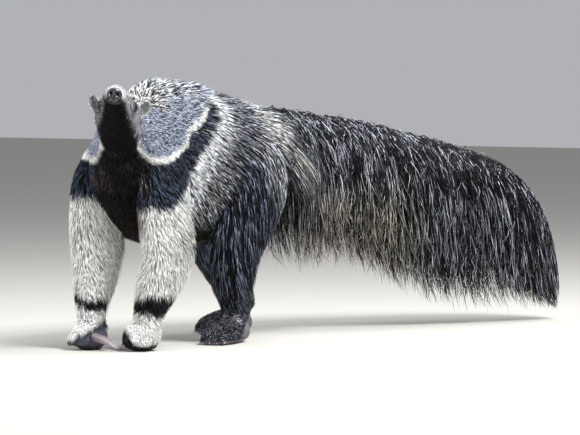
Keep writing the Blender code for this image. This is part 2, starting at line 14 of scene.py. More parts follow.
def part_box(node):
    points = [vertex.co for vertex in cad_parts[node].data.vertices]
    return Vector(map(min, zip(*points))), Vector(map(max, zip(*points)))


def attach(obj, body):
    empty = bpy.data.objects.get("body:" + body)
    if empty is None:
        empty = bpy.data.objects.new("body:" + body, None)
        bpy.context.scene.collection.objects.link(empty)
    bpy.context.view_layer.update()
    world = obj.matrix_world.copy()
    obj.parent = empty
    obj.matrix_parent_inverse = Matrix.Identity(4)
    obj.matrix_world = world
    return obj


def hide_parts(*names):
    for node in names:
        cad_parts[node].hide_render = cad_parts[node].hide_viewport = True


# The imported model, which the skin and the coat are built round. The stations of this script repeat
# those of the model's source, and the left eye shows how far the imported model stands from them.
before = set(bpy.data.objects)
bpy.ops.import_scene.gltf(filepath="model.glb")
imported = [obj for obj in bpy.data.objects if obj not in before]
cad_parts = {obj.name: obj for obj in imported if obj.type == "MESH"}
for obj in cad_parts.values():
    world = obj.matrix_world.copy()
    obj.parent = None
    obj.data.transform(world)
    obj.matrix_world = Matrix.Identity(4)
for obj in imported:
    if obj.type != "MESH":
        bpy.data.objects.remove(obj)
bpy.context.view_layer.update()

UP = np.array((0.0, 0.0, 1.0))
SKULL = np.array((0.088, -0.388, 0.560))
HEAD_YAW, HEAD_PITCH, HEAD_ROLL = 36, 13.5, 7
EYE_AHEAD, EYE_OUT, EYE_UP, EYE_RADIUS = 0.088, 0.0378, 0.008, 0.0078


def unit(way):
    return way / np.linalg.norm(way, axis=-1, keepdims=True)


def facing(yaw, pitch):
    """The way that a section faces, from degrees: yaw 0 is -Y and a positive yaw turns to the left."""
    turn, rise = np.radians(yaw), np.radians(pitch)
    return np.stack((np.sin(turn) * np.cos(rise), -np.cos(turn) * np.cos(rise), np.sin(rise)), -1)


head_ahead = facing(HEAD_YAW, HEAD_PITCH)
level = unit(np.cross(head_ahead, UP))
roll = math.radians(HEAD_ROLL)
head_side = level * math.cos(roll) + np.cross(level, head_ahead) * math.sin(roll)
head_top = np.cross(head_side, head_ahead)


def head_place(ahead, left, up):
    """A point of the head from its distances ahead of the skull, to its left and above its axis."""
    return SKULL - head_side * left + head_ahead * ahead + head_top * up


low, high = (np.array(corner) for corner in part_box("eye_left"))
place = (low + high) / 2 - head_place(EYE_AHEAD, EYE_OUT, EYE_UP)
SKULL = SKULL + place


# The camera: far off at the front left, a little above the animal's knees, as in the photograph.
CAMERA_AZIMUTH, CAMERA_RISE, CAMERA_DISTANCE = 35, 2.5, 11
CAMERA_TARGET = np.array((0.05, 0.378, 0.295)) + place
CAMERA_LENS = 270.8

camera = bpy.data.objects.new("camera", bpy.data.cameras.new("camera"))
camera.data.lens = CAMERA_LENS
camera.data.sensor_width = 36
camera.data.clip_end = 60
camera.location = CAMERA_TARGET + facing(CAMERA_AZIMUTH, CAMERA_RISE) * CAMERA_DISTANCE
aim = Vector(CAMERA_TARGET) - camera.location
camera.rotation_euler = aim.to_track_quat("-Z", "Y").to_euler()
bpy.context.scene.collection.objects.link(camera)
bpy.context.scene.camera = camera
bpy.context.scene.view_settings.view_transform = "Standard"


# The studio: a matt pale floor under three large soft lights and an even pale sky. The key light
# comes from above on the camera's right.
def linear(code):
    """A linear colour from an sRGB hex value."""
    shares = [int(code[i:i + 2], 16) / 255 for i in (1, 3, 5)]
    return np.array([s / 12.92 if s <= 0.04045 else ((s + 0.055) / 1.055) ** 2.4 for s in shares])


def add_node(tree, kind, settings=None, **inputs):
    """Adds a shader node with its settings, and its inputs as values or links."""
    node = tree.nodes.new(kind)
    for name, value in (settings or {}).items():
        setattr(node, name, value)
    for name, value in inputs.items():
        socket = node.inputs[name.replace("_", " ")]
        if isinstance(value, bpy.types.NodeSocket):
            tree.links.new(value, socket)
        else:
            socket.default_value = value
    return node


def new_material(name):
    """A material with its tree and its own shader, the only nodes in it being that and the output."""
    made = bpy.data.materials.new(name)
    made.use_nodes = True
    return made, made.node_tree, made.node_tree.nodes["Principled BSDF"]


def solid(name, vertices, faces, material=None, smooth=True):
    """A mesh object in the scene."""
    data = bpy.data.meshes.new(name)
    data.from_pydata([tuple(v) for v in vertices], [], [tuple(map(int, f)) for f in faces])
    if smooth:
        data.shade_smooth()
    made = bpy.data.objects.new(name, data)
    if material:
        data.materials.append(material)
    bpy.context.scene.collection.objects.link(made)
    return made


# matt paint rolled on board: no gloss, and a faint stipple, 1 mm wide in paint, here 17 mm to show
plaster, tree, shader = new_material("Matt painted floor")
STIPPLE = 1 / 0.017
paint_grain = add_node(tree, "ShaderNodeTexNoise", Scale=STIPPLE, Detail=3.0)
paint_tone = add_node(tree, "ShaderNodeMapRange", Value=paint_grain.outputs["Fac"], To_Min=0.985, To_Max=1.0)
shade = add_node(tree, "ShaderNodeVectorMath", {"operation": "SCALE"}, Scale=paint_tone.outputs["Result"])
shade.inputs[0].default_value = linear("#B4B2AD")
tree.links.new(shade.outputs["Vector"], shader.inputs["Base Color"])
shader.inputs["Roughness"].default_value = 0.9

FLOOR_SIZE = 30
half = FLOOR_SIZE / 2
corners = [(-half, -half, 0), (half, -half, 0), (half, half, 0), (-half, half, 0)]
floor = solid("floor", corners, [(0, 1, 2, 3)], plaster, smooth=False)

# azimuth and rise of a light seen from the animal, its distance, size and power
LIGHTS = {
    "key": (75, 52, 4.2, 1.6, 330),
    "fill": (-30, 24, 4.5, 3.0, 130),
    "top": (150, 70, 4.0, 2.4, 120),
}
for name, (azimuth, rise, distance, size, power) in LIGHTS.items():
    lamp = bpy.data.objects.new(name, bpy.data.lights.new(name, "AREA"))
    lamp.data.size = size
    lamp.data.energy = power
    lamp.location = CAMERA_TARGET + facing(azimuth, rise) * distance
    aim = Vector(CAMERA_TARGET) - lamp.location
    lamp.rotation_euler = aim.to_track_quat("-Z", "Y").to_euler()
    bpy.context.scene.collection.objects.link(lamp)

sky = bpy.data.worlds.new("Studio")
sky.use_nodes = True
sky.node_tree.nodes["Background"].inputs["Color"].default_value = (*linear("#E6E8EC"), 1)
sky.node_tree.nodes["Background"].inputs["Strength"].default_value = 0.55
bpy.context.scene.world = sky


# The flesh under the coat: a trunk, a tail and four legs, each a tube through the stations of the
# model. A station is a cross section: its centre, half width and half height, and what the line over
# its table names. The tubes are joined into one mesh, whose joins are smoothed.

# x, y, z, half width, half height, how much narrower the top is, yaw, pitch, from the rump to the skull
TRUNK = np.array([
    (0.000, 0.384, 0.488, 0.045, 0.050, 0.00, 0, 0),
    (0.000, 0.335, 0.458, 0.085, 0.085, 0.05, 0, 0),
    (0.000, 0.215, 0.433, 0.108, 0.132, 0.12, 0, 0),
    (0.000, 0.060, 0.436, 0.112, 0.164, 0.15, 0, 0),
    (0.000, -0.080, 0.444, 0.112, 0.174, 0.20, 0, 2),
    (0.002, -0.170, 0.450, 0.103, 0.171, 0.28, 3, 5),
    (0.022, -0.255, 0.466, 0.084, 0.133, 0.18, 18, 11),
    (0.052, -0.320, 0.503, 0.057, 0.087, 0.05, 29, 14),
    (0.088, -0.388, 0.560, 0.049, 0.053, 0.00, 36, 13.5),
])
# x, y, z, half width, half height, hair's top, hair's bottom, hair's half width, to the tail's tip
TAIL = np.array([
    (0.000, 0.385, 0.485, 0.046, 0.050, 0.572, 0.150, 0.085),
    (0.016, 0.500, 0.472, 0.040, 0.045, 0.556, 0.150, 0.085),
    (0.051, 0.620, 0.462, 0.034, 0.038, 0.541, 0.155, 0.088),
    (0.090, 0.740, 0.440, 0.030, 0.033, 0.518, 0.110, 0.090),
    (0.134, 0.860, 0.414, 0.026, 0.028, 0.489, 0.055, 0.088),
    (0.180, 0.975, 0.384, 0.021, 0.023, 0.460, 0.028, 0.080),
    (0.226, 1.080, 0.344, 0.015, 0.017, 0.418, 0.024, 0.068),
    (0.258, 1.155, 0.296, 0.009, 0.010, 0.362, 0.022, 0.052),
    (0.280, 1.215, 0.200, 0.006, 0.006, 0.280, 0.022, 0.036),
    (0.292, 1.262, 0.100, 0.005, 0.005, 0.150, 0.024, 0.016),
])
TAIL_FLESH_END = 6.9
# x, y, z, half width, half depth, from the body down
LEGS = {
    "foreleg_left": np.array([
        (0.072, -0.190, 0.475, 0.034, 0.056), (0.092, -0.220, 0.400, 0.046, 0.066),
        (0.108, -0.228, 0.310, 0.044, 0.058), (0.111, -0.228, 0.235, 0.040, 0.050),
        (0.099, -0.244, 0.165, 0.035, 0.038), (0.089, -0.260, 0.110, 0.028, 0.030),
        (0.085, -0.267, 0.070, 0.028, 0.030), (0.084, -0.271, 0.040, 0.030, 0.032),
    ]),
    "foreleg_right": np.array([
        (-0.066, -0.205, 0.475, 0.034, 0.056), (-0.084, -0.232, 0.400, 0.046, 0.066),
        (-0.084, -0.250, 0.310, 0.044, 0.056), (-0.074, -0.268, 0.235, 0.039, 0.048),
        (-0.065, -0.288, 0.165, 0.032, 0.036), (-0.060, -0.302, 0.110, 0.025, 0.028),
        (-0.053, -0.308, 0.070, 0.026, 0.029), (-0.048, -0.312, 0.040, 0.030, 0.032),
    ]),
    "hindleg_left": np.array([
        (0.074, 0.190, 0.478, 0.032, 0.066), (0.090, 0.165, 0.410, 0.044, 0.092),
        (0.106, 0.100, 0.310, 0.042, 0.078), (0.108, 0.062, 0.235, 0.038, 0.056),
        (0.100, 0.062, 0.165, 0.032, 0.042), (0.093, 0.080, 0.105, 0.027, 0.032),
        (0.092, 0.090, 0.060, 0.025, 0.028),
    ]),
    "hindleg_right": np.array([
        (-0.074, 0.232, 0.478, 0.032, 0.066), (-0.088, 0.240, 0.410, 0.044, 0.092),
        (-0.106, 0.255, 0.310, 0.042, 0.074), (-0.110, 0.270, 0.235, 0.038, 0.054),
        (-0.104, 0.315, 0.165, 0.032, 0.040), (-0.098, 0.358, 0.105, 0.027, 0.031),
        (-0.096, 0.378, 0.060, 0.025, 0.028),
    ]),
}
# along a hind foot from its heel: distance, half width, height of its middle, half height
HINDFOOT = np.array([
    (0.000, 0.022, 0.024, 0.020), (0.020, 0.030, 0.030, 0.030), (0.055, 0.034, 0.029, 0.034),
    (0.100, 0.037, 0.024, 0.030), (0.140, 0.036, 0.019, 0.024), (0.165, 0.024, 0.012, 0.012),
])


def along_rows(rows, at):
    """The rows of a table at fractional places, on smooth Catmull-Rom curves."""
    at = np.clip(np.asarray(at, float), 0, len(rows) - 1)
    i = np.minimum(at.astype(int), len(rows) - 2)
    t = (at - i)[..., None]
    a, b, c, d = (rows[np.clip(i + k, 0, len(rows) - 1)] for k in (-1, 0, 1, 2))
    curve = (2 * a - 5 * b + 4 * c - d) * t**2 + (3 * b - a - 3 * c + d) * t**3
    return 0.5 * (2 * b + (c - a) * t + curve)


def ease(value, start, end):
    """0 before start, 1 after end and a smooth step between."""
    t = np.clip((value - start) / (end - start), 0, 1)
    return t * t * (3 - 2 * t)


def tube(at, centre, side, top, ahead, wide, tall, egg=0.0):
    """A flesh tube as arrays, one entry for each of its sections."""
    return {"at": at, "centre": centre + place, "side": side, "top": top, "ahead": ahead,
            "wide": wide, "tall": tall, "egg": np.zeros(len(at)) + egg}


def trunk_tube(at):
    row = along_rows(TRUNK, at)
    ahead = facing(row[:, 6], row[:, 7])
    side = unit(np.cross(ahead, UP))
    top = np.cross(side, ahead)
    return tube(at, row[:, :3], side, top, ahead, row[:, 3], row[:, 4], row[:, 5])


def tail_frame(at):
    """The rows of the tail at some places, the way that it runs there, and its side."""
    way = along_rows(TAIL, at + 0.1)[:, :3] - along_rows(TAIL, at - 0.1)[:, :3]
    way[:, 0] *= ease(at, 0.0, 0.6)
    way[:, 2] = 0
    way = unit(way)
    return along_rows(TAIL, at), way, np.cross(UP, way)


def tail_tube(at):
    row, way, side = tail_frame(at)
    top = np.zeros_like(way) + UP
    return tube(at, row[:, :3], side, top, way, row[:, 3], row[:, 4])


def leg_tube(rows, at):
    down = unit(along_rows(rows, at + 0.05)[:, :3] - along_rows(rows, at - 0.05)[:, :3])
    side = unit(np.cross(down, (0, 1, 0)))
    row = along_rows(rows, at)
    return tube(at, row[:, :3], side, np.cross(side, down), down, row[:, 3], row[:, 4])


def hindfoot_tube(name, at):
    """A hind foot from heel to toes, level on the floor and turned a little outwards."""
    ankle = LEGS[name][-1]
    left = 1 if "left" in name else -1
    ahead = unit(np.array((left * 0.13, -1, 0)))
    heel = np.array((ankle[0] + left * 0.003, ankle[1] + 0.020, 0))
    row = along_rows(HINDFOOT, at)
    centre = heel + ahead * row[:, :1] + UP * row[:, 2:3]
    shape = np.zeros((len(at), 3))
    return tube(at, centre, shape + np.cross(ahead, UP), shape + UP, shape + ahead, row[:, 1], row[:, 3])


def forefoot_tube(name, at):
    """The fleshy ball of a forefoot, which carries the animal on its knuckles."""
    ankle = LEGS[name][-1]
    inward = -1 if "left" in name else 1
    middle = ankle[:3] + (inward * 0.004, -0.014, -0.008)
    turn = np.pi * at
    centre = middle + UP * 0.036 * np.cos(turn)[:, None]
    shape = np.zeros((len(at), 3))
    size = np.sin(turn).clip(0.05)
    return tube(at, centre, shape + (1, 0, 0), shape + (0, 1, 0), shape - UP, 0.041 * size, 0.047 * size)


tubes = {"trunk": trunk_tube(np.linspace(0, 7.6, 96)), "tail": tail_tube(np.linspace(0, TAIL_FLESH_END, 60))}
for name, rows in LEGS.items():
    tubes[name] = leg_tube(rows, np.linspace(0, len(rows) - 1, 50))
    foot_tube = hindfoot_tube if "hind" in name else forefoot_tube
    tubes[name.replace("leg", "foot")] = foot_tube(name, np.linspace(0, 5 if "hind" in name else 1, 24))


def rings_of(form, sides):
    """The rings of points round a tube, on its flesh."""
    turn = np.linspace(0, 2 * np.pi, sides, endpoint=False)[None, :, None]
    side, top = form["side"][:, None], form["top"][:, None]
    wide, tall, egg = (form[key][:, None, None] for key in ("wide", "tall", "egg"))
    across = wide * np.cos(turn) * (1 - egg * np.sin(turn))
    return form["centre"][:, None] + side * across + top * tall * np.sin(turn)


def closed_loft(rings):
    """The vertices and faces of a closed loft through rings of points."""
    count, sides = rings.shape[:2]
    one = np.arange(count * sides).reshape(count, sides)
    two = np.roll(one, -1, axis=1)
    walls = np.stack((one[:-1], two[:-1], two[1:], one[1:]), -1).reshape(-1, 4).tolist()
    vertices = np.concatenate((rings.reshape(-1, 3), rings[[0, -1]].mean(1)))
    for ring, follow, middle, turned in ((one[0], two[0], -2, -1), (one[-1], two[-1], -1, 1)):
        middle = len(vertices) + middle
        fan = [(a, b, middle)[::turned] for a, b in zip(ring.tolist(), follow.tolist())]
        walls.extend(fan)
    return vertices, walls


def ellipsoid(centre, turn, size, sides=20, rows=12):
    """A closed ellipsoid, its half sizes along the columns of a rotation."""
    rise = np.linspace(-np.pi / 2, np.pi / 2, rows + 2)[1:-1]
    around = np.linspace(0, 2 * np.pi, sides, endpoint=False)
    ball = np.stack((
        np.cos(rise)[:, None] * np.cos(around), np.cos(rise)[:, None] * np.sin(around),
        np.repeat(np.sin(rise)[:, None], sides, 1),
    ), -1)
    return closed_loft(np.asarray(centre) + (ball * size) @ np.asarray(turn).T)


def joined(pieces):
    """Several closed lots of vertices and faces as one, with every face turned outwards."""
    vertices, faces = [], []
    for points, polygons in pieces:
        start = sum(map(len, vertices))
        vertices.append(points)
        corners = points[[face[:3] for face in polygons]]
        volume = (corners[:, 0] * np.cross(corners[:, 1], corners[:, 2])).sum()
        turned = 1 if volume > 0 else -1
        faces.extend([tuple(i + start for i in face)[::turned] for face in polygons])
    return np.concatenate(vertices), faces


forms = [closed_loft(rings_of(form, 48)) for form in tubes.values()]
KNUCKLE = 0.0165
for name in ("foreleg_left", "foreleg_right"):
    ankle = LEGS[name][-1][:3] + place
    inward = -1 if "left" in name else 1
    for forward, out, rise, size in ((0.046, 0.014, -0.014, 1.05), (0.020, 0.018, -0.017, 0.95),
                                     (0.052, -0.010, -0.016, 0.9), (0.042, -0.028, -0.018, 0.8)):
        knuckle = ankle + (inward * out, -forward, rise)
        forms.append(ellipsoid(knuckle, np.eye(3), (KNUCKLE * size, KNUCKLE * 1.1 * size, KNUCKLE * size)))
TOE, TOE_SPACING = 0.0085, 0.0145
for name in ("hindfoot_left", "hindfoot_right"):
    form = tubes[name]
    for k in range(-2, 3):
        toe = form["centre"][0] * (1, 1, 0) + form["ahead"][0] * (0.150 - 0.005 * abs(k))
        toe = toe + form["side"][0] * k * TOE_SPACING + UP * (TOE + 0.001)
        turn = np.stack((form["side"][0], form["ahead"][0], UP), 1)
        forms.append(ellipsoid(toe, turn, (TOE * 0.8, TOE * 2.2, TOE)))

# the mesh over all tubes has steps of this size
FINE_VOXEL = 0.0045
body = solid("body", *joined(forms))
wrap = body.modifiers.new("Wrap", "REMESH")
wrap.mode = "VOXEL"
wrap.voxel_size = FINE_VOXEL
relax = body.modifiers.new("Relax", "SMOOTH")
relax.factor = 0.5
relax.iterations = 7


def take_mesh(thing):
    """The vertices and faces of an object as its modifiers leave it. The object is removed."""
    data = bpy.data.meshes.new_from_object(thing.evaluated_get(bpy.context.evaluated_depsgraph_get()))
    vertices = np.empty(len(data.vertices) * 3, np.float32)
    data.vertices.foreach_get("co", vertices)
    faces = [tuple(face.vertices) for face in data.polygons]
    bpy.data.meshes.remove(data)
    bpy.data.objects.remove(thing)
    return vertices.reshape(-1, 3).astype(float), faces


body_points, body_faces = take_mesh(body)
body_points[:, 2] = np.maximum(body_points[:, 2], 0.0006)


# The head: one fine loft from the neck to the nose, with the nostrils, the mouth line and the folds
# of the cheek pressed into it. A dense loft keeps them crisp where a remesh would melt them.
# ahead, drop of the axis, half width, half height
HEAD = np.array([
    (0.000, 0.000, 0.0520, 0.0545), (0.040, 0.000, 0.0485, 0.0500), (0.065, 0.000, 0.0450, 0.0465),
    (0.088, 0.000, 0.0405, 0.0430), (0.110, 0.000, 0.0368, 0.0395), (0.140, 0.000, 0.0336, 0.0360),
    (0.195, 0.001, 0.0296, 0.0312), (0.250, 0.005, 0.0250, 0.0262), (0.276, 0.009, 0.0215, 0.0222),
    (0.290, 0.010, 0.0186, 0.0190), (0.299, 0.010, 0.0130, 0.0135),
    (0.3015, 0.010, 0.0060, 0.0060), (0.302, 0.010, 0.0006, 0.0006),
])
NOSTRIL_OUT, NOSTRIL_UP = 0.0075, -0.0085
MOUTH_UP, MOUTH_BACK = -0.0215, 0.262
HEAD_SIDES = 120

neck = trunk_tube(np.array((6.9, 7.1, 7.3, 7.5, 7.7)))
shrink = np.array((0.94, 0.97, 1.0, 1.0, 1.0))
neck_size = neck["wide"] * shrink, neck["tall"] * shrink
knots = np.column_stack((neck["centre"], neck["side"], neck["top"], *neck_size))
fore = np.zeros((len(HEAD), 3))
centres = SKULL + head_ahead * HEAD[:, :1] - head_top * HEAD[:, 1:2]
knots = np.vstack((knots, np.column_stack((centres, fore + head_side, fore + head_top, HEAD[:, 2:]))))
even = np.linspace(0, len(knots) - 1, 1500)
line = along_rows(knots, even)[:, :3]
radius = along_rows(knots, even)[:, 9]
travel = np.linalg.norm(np.diff(line, axis=0), axis=1) + np.abs(np.diff(radius))
travel = np.concatenate(((0,), np.cumsum(travel)))
row = along_rows(knots, np.interp(np.linspace(0, travel[-1], 260), travel, even))
head_form = {"centre": row[:, :3], "side": unit(row[:, 3:6]), "top": unit(row[:, 6:9]),
             "wide": row[:, 9], "tall": row[:, 10], "egg": np.zeros(len(row))}
rings = rings_of(head_form, HEAD_SIDES)


def on_head(points):
    """How far points are ahead of the skull, to the left of the head and above its axis."""
    away = points - SKULL
    return away @ head_ahead, -(away @ head_side), away @ head_top


def pit(points, centre, spread):
    """A bell round a place of the head, with its spread ahead, across and up."""
    ahead, left, up = on_head(points)
    far = sum(((a - b) / c) ** 2 for a, b, c in zip((ahead, left, up), centre, spread))
    return np.exp(-far)


out = unit(rings - head_form["centre"][:, None])
ahead, left, up = on_head(rings)
front = ease(ahead, 0.285, 0.300)[..., None] * head_ahead
out = unit(out * (1 - ease(ahead, 0.288, 0.301)[..., None]) + front)
press = np.zeros(rings.shape[:2])
# the nostril and its rim, the groove ahead of the eye, the brow over it and the fold behind it
for side in (1, -1):
    press += 0.0088 * pit(rings, (0.300, side * NOSTRIL_OUT, NOSTRIL_UP), (0.012, 0.0038, 0.0048))
    nostril_rim = (0.299, side * NOSTRIL_OUT * 1.15, NOSTRIL_UP - 0.001)
    press -= 0.0014 * pit(rings, nostril_rim, (0.010, 0.0062, 0.0074))
    press += 0.0022 * pit(rings, (0.128, side * 0.036, 0.000), (0.030, 0.02, 0.0045))
    press -= 0.0022 * pit(rings, (0.092, side * 0.040, 0.022), (0.018, 0.02, 0.007))
    press += 0.0018 * pit(rings, (0.066, side * 0.045, -0.016), (0.006, 0.03, 0.022))
# the line of the mouth, and the lower lip that stands out under it
lip = np.abs(up - MOUTH_UP - 0.05 * (0.3 - ahead)) / 0.0011
press += 0.0026 * np.exp(-(lip**2)) * ease(ahead, MOUTH_BACK, MOUTH_BACK + 0.01)
chin = np.exp(-(((up - MOUTH_UP + 0.005) / 0.003) ** 2))
press -= 0.0009 * chin * ease(ahead, MOUTH_BACK, MOUTH_BACK + 0.012)
rings = rings - out * press[..., None]
head_points, head_faces = closed_loft(rings)


# The lids: a fold of bare skin round each eye, with the rounded edge that lies on the ball, a crease
# and a soft outer slope. It is lofted outwards from the opening.
# half width and half height of each ring of the fold, and how far it stands out from the eye's middle
LID = np.array([
    (0.0049, 0.0040, 0.0050), (0.0058, 0.0047, 0.0061), (0.0065, 0.0053, 0.0068), (0.0073, 0.0060, 0.0066),
    (0.0084, 0.0070, 0.0052), (0.0093, 0.0078, 0.0043), (0.0106, 0.0091, 0.0041), (0.0122, 0.0106, 0.0028),
    (0.0145, 0.0128, 0.0002), (0.0165, 0.0148, -0.0045), (0.0120, 0.0100, -0.0080),
])


def eye_place(left):
    return SKULL + head_ahead * EYE_AHEAD - head_side * left * EYE_OUT + head_top * EYE_UP


def eye_gaze(left):
    return unit(-head_side * left * 0.78 + head_ahead * 0.60 + head_top * 0.08)


turns = np.linspace(0, 2 * np.pi, 48, endpoint=False)
lids = []
for left in (1, -1):
    fold = LID[:, None, :]
    droop = 0.0008 * np.cos(turns)[None, :] * np.ones((len(LID), 1))
    forward = unit(head_ahead - eye_gaze(left) * (head_ahead @ eye_gaze(left)))
    points = (
        eye_place(left)
        + forward * (fold[..., 0] * np.cos(turns))[..., None]
        + head_top * (fold[..., 1] * np.sin(turns) * (1 - 0.10 * np.sin(turns)) - droop)[..., None]
        + eye_gaze(left) * (fold[..., 2] + 0.0006 * np.sin(turns))[..., None]
    )
    lids.append(closed_loft(points if left > 0 else points[:, ::-1]))


# The ears: small, round and thick-edged, hollowed at the front. Each is a shell that bellies
# backwards, its front face following the back one at the ear's thickness.
EAR_WIDTH, EAR_HEIGHT, EAR_DEPTH, EAR_EDGE = 0.0140, 0.0220, 0.0110, 0.0028
EAR_ROOT_OUT, EAR_ROOT_UP, EAR_ROOT_AHEAD = 0.054, 0.011, 0.006

ears, ear_frames = [], []
for left in (1, -1):
    lean = unit(-head_side * left * 0.36 - head_ahead * 0.15 + head_top * 0.93)
    mouth = -head_side * left * 0.45 + head_ahead * 0.85 + head_top * 0.10
    mouth = unit(mouth - lean * (mouth @ lean))
    across = np.cross(mouth, lean)
    root = SKULL + head_ahead * EAR_ROOT_AHEAD - head_side * left * EAR_ROOT_OUT + head_top * EAR_ROOT_UP
    centre = root + lean * 0.016
    spread = np.sin(np.linspace(0, np.pi / 2, 18))
    turns_ear = np.linspace(0, 2 * np.pi, 56, endpoint=False)
    # the back face from its middle out to the rim, then the front face back to its middle
    reach = np.concatenate((spread[1:], spread[-2:0:-1]))
    bowl = np.sqrt(1 - np.minimum(reach, 1) ** 2)
    depth = -EAR_DEPTH * bowl
    depth[len(spread) - 1:] += EAR_EDGE * (0.55 + 0.45 * bowl[len(spread) - 1:])
    narrow = 1 - 0.22 * np.clip(-np.sin(turns_ear), 0, 1)
    flat = (reach[:, None] * np.cos(turns_ear) * EAR_WIDTH * narrow)[..., None] * across
    flat = flat + (reach[:, None] * np.sin(turns_ear) * EAR_HEIGHT)[..., None] * lean
    curl = 0.003 * (reach[:, None] * np.cos(turns_ear)) ** 2
    points = centre + flat + (depth[:, None] + curl)[..., None] * mouth
    ears.append(closed_loft(points))
    ear_frames.append((centre, lean))


# The skin: the body, the head, the lids and the ears as one piece. Each of its points knows its part
# of the animal, its place along that part and its angle round it, which the markings, the lie of the
# coat and the unwrap are worked out from.
skin_lots = [(body_points, body_faces), (head_points, head_faces), *lids, *ears]
skin_points, skin_faces = joined(skin_lots)
PARTS = [*tubes, "head", "lid_left", "lid_right", "ear_left", "ear_right"]


def locate(points, form):
    """The place along a tube that is nearest to each point, the angle round it and the distance."""
    near = ((points[:, None] - form["centre"][None]) ** 2).sum(-1).argmin(1)
    away = points - form["centre"][near]
    turn_x = (away * form["side"][near]).sum(1) / form["wide"][near]
    turn_y = (away * form["top"][near]).sum(1) / form["tall"][near]
    depth = (np.hypot(turn_x, turn_y) - 1) * (form["wide"][near] + form["tall"][near]) / 2
    beyond = np.where((near == 0) | (near == len(form["at"]) - 1), (away * form["ahead"][near]).sum(1), 0)
    return form["at"][near], np.arctan2(turn_y, turn_x), np.abs(depth) + np.abs(beyond)


count = len(skin_points)
part = np.zeros(count, int)
at = np.zeros(count)
angle = np.zeros(count)
nearest = np.full(len(body_points), 1e9)
for number, form in enumerate(tubes.values()):
    found_at, found_angle, far = locate(body_points, form)
    closer = np.flatnonzero(far < nearest)
    nearest[closer] = far[closer]
    part[closer], at[closer], angle[closer] = number, found_at[closer], found_angle[closer]
start = len(body_points)
for name, (points, _) in zip(PARTS[len(tubes):], skin_lots[1:]):
    lot = slice(start, start + len(points))
    part[lot] = PARTS.index(name)
    if name == "head":
        ahead, left, up = on_head(points)
        at[lot], angle[lot] = ahead, np.arctan2(up, -left)
    else:
        sides = len(turns) if "lid" in name else len(turns_ear)
        grid = np.arange(len(points) - 2)
        at[lot] = np.concatenate((grid // sides / (len(grid) / sides - 1), (0, 1)))
        angle[lot] = np.concatenate((grid % sides / sides * 2 * np.pi - np.pi, (0, 0)))
    start += len(points)


def is_part(*starts):
    """Which points of the skin belong to the parts whose names start so."""
    return np.isin(part, [i for i, name in enumerate(PARTS) if name.startswith(starts)])


corners = np.array([face if len(face) == 4 else (*face, face[2]) for face in skin_faces])
across = skin_points[corners[:, 2]] - skin_points[corners[:, 0]]
down = skin_points[corners[:, 3]] - skin_points[corners[:, 1]]
thin = corners[:, 2] == corners[:, 3]
down[thin] = skin_points[corners[thin, 2]] - skin_points[corners[thin, 1]]
face_area = np.cross(across, down)
skin_normal = np.zeros((count, 3))
for k in range(4):
    np.add.at(skin_normal, corners[:, k], face_area)
skin_normal = unit(skin_normal + 1e-12)


# The lie of the coat: from the nose back over the neck, back and down over the flanks, and down the
# legs to the toes. The length, the height and the width of a tuft follow tables along each part.
DOWN = -UP
trunk = tubes["trunk"]
steps_along = np.linalg.norm(np.diff(trunk["centre"], axis=0), axis=1)
axis_length = np.concatenate(((0,), np.cumsum(steps_along)))


def by_trunk(points):
    """The trunk's section that is nearest to each point, and how far the point is along the trunk's
    axis and above it, in metres."""
    near = ((points[:, None, :] - trunk["centre"][None]) ** 2).sum(-1).argmin(1)
    away = points - trunk["centre"][near]
    along = axis_length[near] + (away * trunk["ahead"][near]).sum(1)
    return near, along, (away * trunk["top"][near]).sum(1)


near_trunk, trunk_along, _ = by_trunk(skin_points)
roundness = np.abs(np.cos(angle))

# place along the part, length, height over the skin, width
HAIR = {
    "trunk": ((0, 0.066, 0.028, 0.0028), (1, 0.056, 0.028, 0.0026), (2.4, 0.040, 0.027, 0.0023),
              (4.2, 0.031, 0.030, 0.0021), (5.0, 0.024, 0.027, 0.0019), (6.0, 0.016, 0.017, 0.0017),
              (7.0, 0.012, 0.010, 0.0015), (7.6, 0.009, 0.005, 0.0013)),
    "tail": ((0, 0.080, 0.026, 0.0034), (7, 0.060, 0.010, 0.0030)),
    "foreleg": ((0, 0.032, 0.012, 0.0021), (2.6, 0.037, 0.020, 0.0020), (4.4, 0.032, 0.017, 0.0019),
                (5.4, 0.022, 0.012, 0.0019), (7, 0.018, 0.007, 0.0017)),
    "forefoot": ((0, 0.018, 0.006, 0.0017), (0.5, 0.014, 0.004, 0.0016), (1, 0.006, 0.002, 0.0013)),
    "hindleg": ((0, 0.070, 0.020, 0.0030), (2, 0.075, 0.026, 0.0030), (4, 0.062, 0.024, 0.0028),
                (5.2, 0.030, 0.012, 0.0022), (6, 0.014, 0.005, 0.0018)),
    "hindfoot": ((0, 0.010, 0.003, 0.0015), (2, 0.024, 0.007, 0.0019), (5, 0.013, 0.004, 0.0016)),
    "head": ((-0.06, 0.013, 0.0060, 0.0014), (0.02, 0.009, 0.0030, 0.0012), (0.10, 0.007, 0.0018, 0.0011),
             (0.29, 0.0050, 0.0011, 0.0009)),
    "ear": ((0, 0.005, 0.0012, 0.0009), (1, 0.006, 0.0014, 0.0009)),
    "lid": ((0, 0.003, 0.0008, 0.0008), (1, 0.004, 0.0010, 0.0009)),
}
lie = np.zeros((count, 3)) + DOWN
length, height, width = np.zeros(count), np.zeros(count), np.zeros(count)
for name, table in HAIR.items():
    own = is_part(name)
    table = np.array(table)
    for values, column in ((length, 1), (height, 2), (width, 3)):
        values[own] = np.interp(at[own], table[:, 0], table[:, column])

